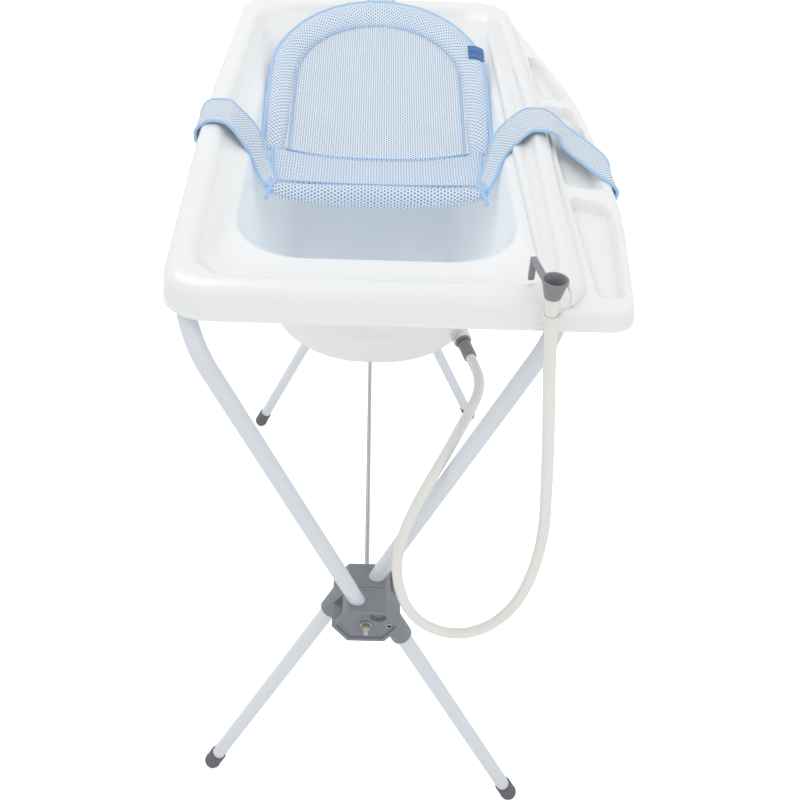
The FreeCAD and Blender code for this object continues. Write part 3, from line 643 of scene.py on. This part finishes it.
# %% Build the shelf
edge_line = rounded_outline(SHELF, steps=24)
start = int(np.argmin(np.linalg.norm(edge_line - (170, -440), axis=1)))
edge_line = np.roll(edge_line, -start, axis=0)
edge_line = edge_line[edge_line[:, 0] > 168]
COLUMNS = 250
edge_points = spaced(edge_line, COLUMNS)
tangent = np.gradient(edge_points, axis=0)
outward = np.stack((tangent[:, 1], -tangent[:, 0]), 1) / np.linalg.norm(tangent, axis=1)[:, None]
UNDER_BEAD_X = 196.0                       # the line under the bead where the shelf ends
spine = np.stack((np.full(COLUMNS, UNDER_BEAD_X), np.clip(edge_points[:, 1], -428, 418)), 1)
SHELF_ROUND = 6.0
strips = lip_profile(SHELF_Z - SHELF_ROUND - 1)
for degrees in (20, 45, 70, 90):
    a = math.radians(degrees)
    strips.append((SHELF_ROUND * (math.cos(a) - 1), SHELF_Z - SHELF_ROUND * (1 - math.sin(a))))
ROWS = 17
rows = [np.column_stack((edge_points + outward * step, np.full(COLUMNS, z))) for step, z in strips]
top_edge = edge_points - outward * SHELF_ROUND
for row in range(1, ROWS + 1):
    t = row / ROWS
    rows.append(np.column_stack((top_edge * (1 - t) + spine * t, np.full(COLUMNS, SHELF_Z))))
shelf_data = bpy.data.meshes.new("side_shelf")
vertices = [place(*point) for row in rows for point in row]
faces = [(i * COLUMNS + j, i * COLUMNS + j + 1, (i + 1) * COLUMNS + j + 1, (i + 1) * COLUMNS + j)
         for i in range(len(rows) - 1) for j in range(COLUMNS - 1)]
shelf_data.from_pydata(vertices, [], faces)
side_shelf = bpy.data.objects.new("side_shelf", shelf_data)
scene.collection.objects.link(side_shelf)
subdivided(side_shelf)
print("shelf strips", len(rows), "by", COLUMNS)

# %% Press the trays
TRAY_DEPTH, TRAY_SLOPE = 12.5, 5.0
count = len(side_shelf.data.vertices)
coordinates = np.empty(count * 3, np.float32)
side_shelf.data.vertices.foreach_get("co", coordinates)
coordinates = coordinates.reshape(-1, 3).astype(float)
flat = coordinates[:, :2] / MM - (STAND_X, 0)
on_top = coordinates[:, 2] > (SHELF_Z - 1) * MM
for corners in POCKETS:
    inward = inside_distance(flat, rounded_outline(corners))
    pressed = TRAY_DEPTH * smooth(inward, -1.0, TRAY_SLOPE - 1.0)
    coordinates[:, 2] -= pressed * on_top * MM
side_shelf.data.vertices.foreach_set("co", coordinates.astype(np.float32).ravel())
side_shelf.data.update()
thickened(side_shelf, WALL, offset=-1.0)
finish_mesh(side_shelf, bath_white, "bath", ["tub_shell"], angle=60)
print("shelf triangles", sum(len(p.vertices) - 2 for p in side_shelf.data.polygons))


# %% [markdown]
# ## The drain boss
# Under the foot end a short moulded boss takes the drain's nipple. It is turned about its own
# axis from a profile, so that its end has a rounded edge. It leaves the wall at a slant, so the
# part of it that would stand in the basin is pushed back into the wall, along its own axis.

# %% The boss
def turned(name, start, direction, profile, around=40):
    """A closed shape turned about a line. profile is (distance along it, radius) points."""
    direction = Vector(direction).normalized()
    side = direction.orthogonal().normalized()
    other = direction.cross(side)
    mesh = bmesh.new()
    rounds = []
    for along, radius in profile:
        middle = Vector(start) + direction * along
        turns = [2 * math.pi * k / around for k in range(around)]
        arms = [side * math.cos(a) + other * math.sin(a) for a in turns]
        rounds.append([mesh.verts.new(place(*(middle + radius * arm))) for arm in arms])
    for low, high in zip(rounds, rounds[1:]):
        for k in range(around):
            mesh.faces.new((low[k], low[(k + 1) % around], high[(k + 1) % around], high[k]))
    mesh.faces.new(list(reversed(rounds[0])))
    mesh.faces.new(rounds[-1])
    bmesh.ops.recalc_face_normals(mesh, faces=mesh.faces)
    data = bpy.data.meshes.new(name)
    mesh.to_mesh(data)
    mesh.free()
    obj = bpy.data.objects.new(name, data)
    scene.collection.objects.link(obj)
    return obj


DRAIN_EXIT, DRAIN_DIR = Vector((121.9, -248.5, 701.3)), Vector((0.26, -0.95, -0.10)).normalized()
boss = turned("drain_boss", DRAIN_EXIT - DRAIN_DIR * 60, DRAIN_DIR,
              [(0, 12.5), (8, 12.4), (16, 12.3), (24, 12.2), (27.5, 12), (28.7, 11.2), (28.9, 9.5)])
bpy.context.view_layer.update()
pushed = 0
for vertex in boss.data.vertices:
    met, spot, facing, _ = bath_body.ray_cast(vertex.co, DRAIN_DIR, distance=0.06)
    if met and facing.dot(DRAIN_DIR) < 0:
        vertex.co = spot + DRAIN_DIR * (WALL / 2 * MM)
        pushed += 1
finish_mesh(boss, bath_white, "bath", ["tub_shell"])
print("boss points pushed into the wall", pushed, "of", len(boss.data.vertices))

# %% [markdown]
# ## The mesh support
# The support is sewn: a back panel of fine mesh inside a padded arch, a flat seat, a padded
# roll under the thighs, and straps of mesh with a woven binding on both edges. Every sewn piece
# carries its own flat layout as a UV map in metres, so the knit runs with the cloth and keeps
# its pitch.

# %% Cloth helpers
PANEL_LOW, PANEL_SLOPE = np.array((BASIN_X, 2.0, 851.0)), math.radians(11.8)
ALONG_PANEL = np.array((0.0, math.cos(PANEL_SLOPE), math.sin(PANEL_SLOPE)))
OFF_PANEL = np.array((0.0, -math.sin(PANEL_SLOPE), math.cos(PANEL_SLOPE)))


def panel_point(u, v, w=0.0):
    """A point on the sloping back, u across, v up from its bottom seam, w off it."""
    return PANEL_LOW + np.array((u, 0.0, 0.0)) + ALONG_PANEL * v + OFF_PANEL * w


def grid_piece(name, points, layout, closed_across=False):
    """A quad sheet from points[i][j], with layout[i][j] as its UVs, both in millimetres."""
    rows, columns = len(points), len(points[0])
    data = bpy.data.meshes.new(name)
    faces = []
    for i in range(rows - 1):
        for j in range(columns - (0 if closed_across else 1)):
            k = (j + 1) % columns
            low, high = i * columns, (i + 1) * columns
            faces.append((low + j, low + k, high + k, high + j))
    data.from_pydata([place(*p) for row in points for p in row], [], faces)
    uv = data.uv_layers.new(name="cloth")
    for polygon in data.polygons:
        wraps = closed_across and any(v % columns == 0 for v in polygon.vertices) \
            and any(v % columns == columns - 1 for v in polygon.vertices)
        for loop in polygon.loop_indices:
            v = data.loops[loop].vertex_index
            a, b = layout[v // columns][v % columns]
            if wraps and v % columns == 0:
                b = layout[v // columns][columns - 1][1] * columns / (columns - 1)
            uv.data[loop].uv = (a * MM, b * MM)
    obj = bpy.data.objects.new(name, data)
    scene.collection.objects.link(obj)
    return obj


def smooth_rows(stations, steps):
    """Smooth rows between stations: each is a flat array of numbers."""
    stations = [np.asarray(s, float) for s in stations]
    padded = [2 * stations[0] - stations[1]] + stations + [2 * stations[-1] - stations[-2]]
    out = []
    for a, b, c, d in zip(padded, padded[1:], padded[2:], padded[3:]):
        for step in range(steps):
            t = step / steps
            out.append(0.5 * (2 * b + (c - a) * t + (2 * a - 5 * b + 4 * c - d) * t * t
                              + (3 * b - 3 * c + d - a) * t ** 3))
    out.append(stations[-1])
    return out


def finish_cloth(obj, material, node):
    return finish_mesh(obj, material, "bath_support", [node], angle=80)


# %% [markdown]
# ### Puffed pads
# A filled pad could be modelled round by hand, but cloth that is blown up from inside finds its
# own swelling. The recipe: close the tube's ends, hold its seams still, give the cloth pressure
# and no gravity, run 20 frames, and limit how far any point may go.

# %% Puff up a sewn pad with Blender's cloth
def closed_ends(obj):
    mesh = bmesh.new()
    mesh.from_mesh(obj.data)
    bmesh.ops.holes_fill(mesh, edges=[e for e in mesh.edges if e.is_boundary])
    bmesh.ops.recalc_face_normals(mesh, faces=mesh.faces)
    mesh.to_mesh(obj.data)
    mesh.free()


def end_rings(rows):
    """The vertex numbers of a pad's first and last ring."""
    columns, count = len(rows[0]), len(rows) * len(rows[0])
    return list(range(columns)) + list(range(count - columns, count))


def puffed(obj, held, cap, pressure=4.0, last_frame=20):
    """Blow the pad up from inside while its seams, the held vertices, stay where they are."""
    count = len(obj.data.vertices)
    before = np.empty(count * 3, np.float32)
    obj.data.vertices.foreach_get("co", before)
    seams = obj.vertex_groups.new(name="seams")
    seams.add(held, 1.0, "REPLACE")
    cloth = obj.modifiers.new("pad", "CLOTH")
    cloth.settings.use_pressure = True
    cloth.settings.uniform_pressure_force = pressure
    cloth.settings.vertex_group_mass = seams.name
    cloth.settings.effector_weights.gravity = 0.0
    cloth.collision_settings.use_collision = False
    cloth.point_cache.frame_end = last_frame
    for frame_number in range(1, last_frame + 1):
        scene.frame_set(frame_number)
    evaluated = obj.evaluated_get(bpy.context.evaluated_depsgraph_get())
    after = np.empty(count * 3, np.float32)
    evaluated.data.vertices.foreach_get("co", after)
    moved = (after - before).reshape(-1, 3)
    reach = np.linalg.norm(moved, axis=1, keepdims=True)
    moved *= np.minimum(1.0, cap * MM / np.maximum(reach, 1e-9))
    obj.modifiers.remove(cloth)
    obj.vertex_groups.remove(seams)
    obj.data.vertices.foreach_set("co", before + moved.ravel())
    obj.data.update()
    scene.frame_set(1)
    print(obj.name, "cloth moved at most", round(float(reach.max()) / MM, 1), "mm, cap", cap)


# %% [markdown]
# ### Bindings and stitches
# A rolled edge is a round cord that follows a line, and a seam's stitches repeat along one. Both
# are grown by Geometry Nodes from a plain line of edges, so that a size is changed in one place.
# The trees end in real meshes, which the modifier's result is turned into at once.

# %% Two Geometry Nodes trees: a round cord, and a row of stitches, along a line
def new_tree(name, inputs):
    tree = bpy.data.node_groups.new(name, "GeometryNodeTree")
    tree.interface.new_socket("Geometry", in_out="INPUT", socket_type="NodeSocketGeometry")
    for label, kind in inputs:
        tree.interface.new_socket(label, in_out="INPUT", socket_type=kind)
    tree.interface.new_socket("Geometry", in_out="OUTPUT", socket_type="NodeSocketGeometry")
    return tree, tree.nodes.new("NodeGroupInput"), tree.nodes.new("NodeGroupOutput")


def ended(tree, given, out, last):
    """Every tree ends in Realize Instances and Set Material."""
    real = add_node(tree, "GeometryNodeRealizeInstances", [("Geometry", last.outputs[0])])
    finish = add_node(tree, "GeometryNodeSetMaterial",
                      [("Geometry", real.outputs[0]), ("Material", given.outputs["Material"])])
    tree.links.new(finish.outputs[0], out.inputs[0])
    return tree


def piping_tree():
    tree, given, out = new_tree("piping", [("Radius", "NodeSocketFloat"),
                                           ("Material", "NodeSocketMaterial")])
    line = add_node(tree, "GeometryNodeMeshToCurve", [("Mesh", given.outputs["Geometry"])])
    ring = add_node(tree, "GeometryNodeCurvePrimitiveCircle",
                    [("Resolution", 10), ("Radius", given.outputs["Radius"])])
    solid = add_node(tree, "GeometryNodeCurveToMesh",
                     [("Curve", line.outputs[0]), ("Profile Curve", ring.outputs[0]),
                      ("Fill Caps", True)])
    return ended(tree, given, out, solid)


def stitch_tree():
    tree, given, out = new_tree("stitches", [("Pitch", "NodeSocketFloat"),
                                             ("Length", "NodeSocketFloat"),
                                             ("Radius", "NodeSocketFloat"),
                                             ("Material", "NodeSocketMaterial")])
    line = add_node(tree, "GeometryNodeMeshToCurve", [("Mesh", given.outputs["Geometry"])])
    points = add_node(tree, "GeometryNodeCurveToPoints",
                      [("Curve", line.outputs[0]), ("Length", given.outputs["Pitch"])],
                      mode="LENGTH")
    thread = add_node(tree, "GeometryNodeMeshCylinder",
                      [("Vertices", 6), ("Radius", given.outputs["Radius"]),
                       ("Depth", given.outputs["Length"])])
    turn = add_node(tree, "FunctionNodeAlignRotationToVector",
                    [("Vector", points.outputs["Tangent"])], axis="Z")
    placed = add_node(tree, "GeometryNodeInstanceOnPoints",
                      [("Points", points.outputs[0]), ("Instance", thread.outputs[0]),
                       ("Rotation", turn.outputs[0])])
    return ended(tree, given, out, placed)


PIPING, STITCHES = piping_tree(), stitch_tree()


def along_line(name, lines, tree, **sizes):
    """A blue piece that a tree grows along open lines of points, with its sizes in millimetres."""
    data = bpy.data.meshes.new(name)
    vertices, edges = [], []
    for line in lines:
        first = len(vertices)
        vertices += [place(*p) for p in line]
        edges += [(first + k, first + k + 1) for k in range(len(line) - 1)]
    data.from_pydata(vertices, edges, [])
    obj = bpy.data.objects.new(name, data)
    scene.collection.objects.link(obj)
    modifier = obj.modifiers.new("grow", "NODES")
    modifier.node_group = tree
    for item in tree.interface.items_tree:
        if item.in_out == "INPUT" and item.name in sizes:
            modifier[item.identifier] = sizes[item.name] * MM
        if item.in_out == "INPUT" and item.name == "Material":
            modifier[item.identifier] = binding_blue
    apply_modifiers(obj)
    obj.data.shade_smooth()
    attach(obj, "bath_support")
    return obj


print("trees", [tree.name for tree in (PIPING, STITCHES)])


# %% [markdown]
# ### The straps
# Each strap is a ribbon through a few stations: a middle, the direction of its width and the
# width. It leaves a gathered corner narrow, widens over the rim and ends in a plastic hook.

# %% Straps
LEFT_STRAP = [
    ((-134, -109, 858.5), (0.15, 1, 0.1), 26), ((-139, -95, 861), (0.15, 1, 0.1), 38),
    ((-153, -64, 873), (0.1, 1, 0.1), 52), ((-164, -50, 895), (0.08, 1, 0.1), 60),
    ((-185, -48, 922.5), (0, 1, 0), 65), ((-198, -38, 927), (0, 1, 0), 66),
    ((-221, -33, 924.5), (-0.1, 1, 0), 62),
    ((-235, -31, 910), (0, 1, 0), 56), ((-237, -31, 893), (0, 1, 0), 50),
]
RIGHT_STRAP = [
    ((130, -109, 858.5), (-0.15, 1, 0.1), 26), ((135, -93, 861), (-0.15, 1, 0.1), 38),
    ((147, -62, 874), (-0.12, 1, 0.1), 52), ((159, -42, 897), (-0.1, 1, 0.1), 58),
    ((184, -38, 923), (-0.05, 1, 0), 64), ((200, -37, 927.5), (0, 1, 0), 66),
    ((221, -40, 924.5), (0, 1, 0), 66), ((238, -55, 912), (0.2, 1, 0), 62),
    ((268, -122, 911), (0.4, 1, 0), 50), ((281.5, -151, 904.5), (0, 1, 0), 46),
    ((283.4, -155, 892), (0, 1, 0), 43),
]
HEAD_STRAP = [
    ((-2, 382, 929), (1, 0, 0), 40), ((0, 405, 927), (1, 0, 0), 40),
    ((0, 424, 924.5), (1, 0, 0), 40),
    ((0, 441.5, 912), (1, 0, 0), 38), ((0, 444.6, 893), (1, 0, 0), 36),
]
STRAP_STEPS, STRAP_COLUMNS, STRAP_T = 9, 9, 1.4
STRAP_BOW = 1.2            # how far a strap's edges hang below its middle


def strap(name, stations, node):
    flat_stations = [(*c, *(np.array(d) / np.linalg.norm(d)), w) for c, d, w in stations]
    stations_between = smooth_rows(flat_stations, STRAP_STEPS)
    runs = run_along([station[:3] for station in stations_between])
    spots = np.linspace(-0.5, 0.5, STRAP_COLUMNS)
    rows, layout = [], []
    for station, run in zip(stations_between, runs):
        middle, width = station[:3], station[6]
        across = station[3:6] / np.linalg.norm(station[3:6])
        bow = np.array((0, 0, STRAP_BOW))
        rows.append([middle + across * width * s - bow * (2 * abs(s)) ** 2 for s in spots])
        layout.append([(width * s, run) for s in spots])
    obj = grid_piece(name, rows, layout)
    thickened(obj, STRAP_T)
    finish_cloth(obj, fine_mesh, node)
    edges = [[row[side] for row in rows] for side in (0, -1)]
    edging = along_line(name + "_binding", edges, PIPING, Radius=2.1)


strap("left_strap_cloth", LEFT_STRAP, "left_strap")
strap("right_strap_cloth", RIGHT_STRAP, "right_strap")
strap("head_strap_cloth", HEAD_STRAP, "head_strap")
for node in ("left_strap_hook", "right_strap_hook", "head_strap_hook"):
    hard_piece(node, clip_cream, "bath_support", bevel=0.0005)

# %% [markdown]
# ### The back panel
# Fine mesh hangs slack inside the padded arch, so it dips a few millimetres in the middle. Its
# outline is a half-ellipse on straight sides, and its rows run from the bottom seam to the top.

# %% The back panel
PANEL_HALF, PANEL_TOP, PANEL_RISE = 121.0, 315.0, 139.0


def arch_half(v, half, top, rise):
    """Half the width of a half-ellipse on straight sides, at height v. The ellipse is rise high."""
    over = max(v - (top - rise), 0.0) / rise
    return half * math.sqrt(max(1 - over ** 2, 0.0))


def arch_line(half, top, rise, steps=90, low=0.0):
    """Points round an open arch, from its bottom right to its bottom left."""
    right = [(half, low + (top - rise - low) * k / 30) for k in range(30)]
    arc = [(half * math.cos(a), top - rise + rise * math.sin(a))
           for a in (math.pi / 2 * k / steps for k in range(steps + 1))]
    line = right + arc
    return line + [(-u, v) for u, v in reversed(line[:-1])]


TUCK, DIP, SWEEP = 3.0, 9.0, 15.0     # under the arch, slack in the middle, bottom seam's curve
straight = np.linspace(-1, PANEL_TOP - PANEL_RISE - 2, 30)
rounded = PANEL_TOP - PANEL_RISE * (1 - np.sin(np.linspace(0.02, 1.53, 34)))
rows, layout = [], []
for v in np.concatenate((straight, rounded)):
    half = arch_half(v, PANEL_HALF + TUCK, PANEL_TOP + TUCK, PANEL_RISE)
    spots = np.linspace(-1, 1, 41)
    dip = DIP * math.sin(math.pi * min(max(v / PANEL_TOP, 0), 1)) ** 0.7
    sweep = SWEEP * max(1 - v / 70, 0)
    rows.append([panel_point(s * half, v - sweep * (1 - s * s), 3.0 - dip * (1 - s * s) ** 0.8)
                 for s in spots])
    layout.append([(s * half, v) for s in spots])
back_panel = grid_piece("back_panel_cloth", rows, layout)
thickened(back_panel, 1.6)
finish_cloth(back_panel, fine_mesh, "support_back_panel")
print("back panel rows", len(rows))

# %% [markdown]
# ### The padded arch
# The arch is a soft tube between an outer binding and an inner seam. It is wide at the top and
# narrows to a blunt end at each side. Its section is a flattened round, so the light rolls over
# it. It is laid out ring by ring, slightly uneven as filling is, and then puffed.

# %% The padded arch
OUTER_HALF, OUTER_TOP, OUTER_RISE = 156.0, 382.0, 188.0
INNER_HALF, INNER_TOP, INNER_RISE = 120.0, 314.0, 138.0
ARCH_ROWS, ARCH_COLUMNS, ARCH_THICK = 150, 22, 9.6
FIRM_ENDS = 12             # each blunt end takes one part in this many of the arch's length


def side_lift(u, v):
    """The arch's sides ride up against the bath's walls, most of all low down."""
    outward = min(max((abs(u) - INNER_HALF) / (OUTER_HALF - INNER_HALF), 0), 1)
    return 7.0 * outward * min(max(1 - (v - 150) / 150, 0), 1)


def arch_ring(o, i, share, order, run):
    """One ring of the arch between an outer point o and an inner point i, and its flat layout."""
    i = i + (o - i) * 0.10 * (1 - math.sin(math.pi * share))
    to_end = min(share, 1 - share) * FIRM_ENDS
    blunt = max(math.sin(math.pi * to_end / 2) ** 0.5 if to_end < 1 else 1.0, 0.12)
    middle, half = (o + i) / 2, np.linalg.norm(o - i) / 2
    radial = (o - i) / (2 * half)
    uneven = 1.0 + 0.05 * math.sin(order * 0.9) + 0.03 * math.sin(order * 2.3)
    ring, flat = [], []
    for j in range(ARCH_COLUMNS):
        a = 2 * math.pi * j / ARCH_COLUMNS
        lift = math.copysign(abs(math.sin(a)) ** 0.85, math.sin(a)) * ARCH_THICK * blunt * uneven
        u, v = middle + radial * half * math.cos(a) * (0.55 + 0.45 * blunt)
        ring.append(panel_point(u, v, 1.0 + side_lift(u, v) + lift * (1.0 if lift > 0 else 0.8)))
        flat.append((run, half * 2 * j / ARCH_COLUMNS * 1.5))
    return ring, flat


# %% Lay the rings out, close the ends and puff the arch up
outer = np.array(arch_line(OUTER_HALF, OUTER_TOP, OUTER_RISE, low=-4.0))
inner = np.array(arch_line(INNER_HALF, INNER_TOP, INNER_RISE, low=-4.0))
picks = np.linspace(0, len(outer) - 1, ARCH_ROWS).round().astype(int)
shares = np.arange(ARCH_ROWS) / (ARCH_ROWS - 1)
drawn_in = 0.10 * (1 - np.sin(math.pi * shares))[:, None]
middles = (outer[picks] + inner[picks] + (outer[picks] - inner[picks]) * drawn_in) / 2
rings_and_layout = [arch_ring(outer[k], inner[k], share, order, run)
                    for order, (k, share, run) in enumerate(zip(picks, shares, run_along(middles)))]
rows, layout = [ring for ring, _ in rings_and_layout], [flat for _, flat in rings_and_layout]
arch = grid_piece("padded_arch", rows, layout, closed_across=True)
closed_ends(arch)
seams = [i * ARCH_COLUMNS + j for i in range(ARCH_ROWS) for j in (0, ARCH_COLUMNS // 2)]
puffed(arch, seams + end_rings(rows), cap=5.0)
subdivided(arch)
finish_cloth(arch, pad_mesh, "support_bolster")

# %% Bindings of the arch
outer_line = [panel_point(u, v, 2.5 + side_lift(u, v))
              for u, v in arch_line(OUTER_HALF + 0.5, OUTER_TOP + 0.5, OUTER_RISE, low=-6.0)]
along_line("arch_binding", [outer_line], PIPING, Radius=3.0)
inner_line = [panel_point(u, v, 3.6)
              for u, v in arch_line(INNER_HALF, INNER_TOP - 1, INNER_RISE, low=-2.0)]
along_line("arch_seam", [inner_line], PIPING, Radius=0.8)
stitch_line = [panel_point(u, v, 4.6)
               for u, v in arch_line(INNER_HALF - 3, INNER_TOP - 4, INNER_RISE - 2, low=0.0)]
stitches = along_line("arch_stitches", [stitch_line], STITCHES, Pitch=3.4, Length=2.2, Radius=0.28)
print("stitch triangles", sum(len(p.vertices) - 2 for p in stitches.data.polygons))

# %% [markdown]
# ### The label
# A plain dark ribbon, folded over the arch's outer binding and sewn down. It follows the pad's
# slope as a small grid of its own, and it is blank.

# %% The label
LABEL_SPOTS = np.linspace(216.0, 250.0, 14)
rows, layout = [], []
for u in np.linspace(134.0, 158.0, 14):
    lift = float(np.interp(u, (134, 145, 150, 154, 158), (13.6, 13.2, 11.8, 9.9, 7.6)))
    rows.append([panel_point(u, v, lift + 0.5 * math.sin(v * 0.35)) for v in LABEL_SPOTS])
    layout.append([(u, v) for v in LABEL_SPOTS])
label = grid_piece("support_label", rows, layout)
thickened(label, 0.9)
finish_cloth(label, tag_blue, "support_tag")
print("label points", len(label.data.vertices))

# %% [markdown]
# ### The seat and the front roll
# The seat is a short flat band of the pad mesh, and the roll under the thighs is a soft
# tube of bold mesh that thins out towards the two gathered corners.

# %% The seat
SEAT_Z, SEAT_BACK, SEAT_LONG = 850.0, 3.0, 84.0
rows, layout = [], []
for t in np.linspace(0, 1, 16):
    row, flat = [], []
    for s in np.linspace(-1, 1, 41):
        half = 141 - 4 * t
        y = SEAT_BACK - SWEEP * (1 - s * s) * (1 - t) - SEAT_LONG * t
        z = SEAT_Z - 4.5 * math.sin(math.pi * t) * (1 - s * s) + 6 * abs(s) ** 3 - 2 * t
        row.append((BASIN_X + s * half, y, z))
        flat.append((s * half, SEAT_LONG * t))
    rows.append(row)
    layout.append(flat)
seat = grid_piece("seat_cloth", list(reversed(rows)), list(reversed(layout)))
thickened(seat, 1.8)
finish_cloth(seat, pad_mesh, "support_seat")
print("seat rows", len(rows))

# %% The front roll
ROLL = [(-136, -113, 858, 4), (-126, -108, 853, 9.5), (-92, -102, 845, 13),
        (-46, -98, 841, 14.5), (0, -96.5, 840, 15), (44, -98, 841, 14.5),
        (88, -102, 845, 13), (122, -108, 853, 9.5), (132, -113, 858, 4)]
ROLL_COLUMNS = 28
angles_round = [2 * math.pi * k / ROLL_COLUMNS for k in range(ROLL_COLUMNS)]
stations = smooth_rows(ROLL, 9)
rows, layout = [], []
for station, run in zip(stations, run_along([station[:3] for station in stations])):
    middle, radius = station[:3], station[3]
    rows.append([middle + np.array((0, -math.cos(a) * radius * 1.25, math.sin(a) * radius * 0.82))
                 for a in angles_round])
    layout.append([(run, radius * a) for a in angles_round])
roll = grid_piece("front_roll", rows, layout, closed_across=True)
closed_ends(roll)
puffed(roll, end_rings(rows), cap=3.0)
subdivided(roll)
finish_cloth(roll, bold_mesh, "support_front_roll")

# %% Seams across the seat, and the bound edges that gather at its front corners
ACROSS = np.linspace(-1, 1, 50)
seat_seam = [(BASIN_X + s * 125, SEAT_BACK - SWEEP * (1 - s * s), SEAT_Z + 2 + 5 * abs(s) ** 3)
             for s in ACROSS]
roll_seam = [(BASIN_X + s * 135, -82 - 12 * abs(s) ** 6, SEAT_Z + 1 + 7 * abs(s) ** 3)
             for s in ACROSS]
along_line("seat_seams", [seat_seam, roll_seam], PIPING, Radius=1.0)
ties = []
for side in (-1, 1):
    ties.append([(BASIN_X + side * x, y, z)
                 for x, y, z in ((128, -96, 860), (134, -112, 862),
                                 (137, -126, 858), (139, -133, 854))])
    ties.append([(BASIN_X + side * x, y, z)
                 for x, y, z in ((141, 2, 857), (139, -40, 858),
                                 (137, -84, 860), (136, -116, 862))])
along_line("corner_ties", ties, PIPING, Radius=2.6)
print("corner ties", len(ties))

# %% [markdown]
# ## Floor and light
# A very pale floor and a bright, even room keep the white bath readable by its own soft
# shading. One large soft light hangs above the head end, to the left, and a wide, weaker one
# fills from the foot end, to the right. The floor is lifted to white for the camera only, so
# that it doesn't throw more light up at the object.

# %% Floor, lights and world
floor_data = bpy.data.meshes.new("floor")
FLOOR_CORNERS = [(-6, -6, 0), (6, -6, 0), (6, 14, 0), (-6, 14, 0)]
FLOOR_LIFT, ROOM_LIGHT = 0.62, 0.9
floor_data.from_pydata(FLOOR_CORNERS, [], [(0, 1, 2, 3)])
floor = bpy.data.objects.new("floor", floor_data)
scene.collection.objects.link(floor)
floor_material, tree, principled = new_material("floor")
principled.inputs["Base Color"].default_value = paint("F0F0F0")
principled.inputs["Roughness"].default_value = 0.9
seen = add_node(tree, "ShaderNodeLightPath").outputs["Is Camera Ray"]
lift = maths(tree, "MULTIPLY", seen, FLOOR_LIFT)
glow = add_node(tree, "ShaderNodeEmission", [("Strength", lift)])
both = add_node(tree, "ShaderNodeAddShader", [(0, principled.outputs[0]), (1, glow.outputs[0])])
tree.links.new(both.outputs[0], tree.nodes["Material Output"].inputs["Surface"])
floor_data.materials.append(floor_material)


def soft_light(name, at, towards, size, power):
    data = bpy.data.lights.new(name, "AREA")
    data.shape, data.size, data.energy = "DISK", size, power
    obj = bpy.data.objects.new(name, data)
    obj.location = at
    obj.rotation_euler = (Vector(towards) - Vector(at)).to_track_quat("-Z", "Y").to_euler()
    scene.collection.objects.link(obj)


soft_light("overhead", (-1.1, 0.9, 2.9), (0, 0, 0.7), 1.5, 9)
soft_light("front", (0.9, -2.6, 1.6), (0, 0, 0.6), 2.0, 3)
world = bpy.data.worlds.new("room")
scene.world = world
world.use_nodes = True
world.node_tree.nodes["Background"].inputs["Color"].default_value = (0.97, 0.985, 1.0, 1)
world.node_tree.nodes["Background"].inputs["Strength"].default_value = ROOM_LIGHT
scene.view_settings.view_transform = "Standard"
print("lights", [light.name for light in bpy.data.lights])
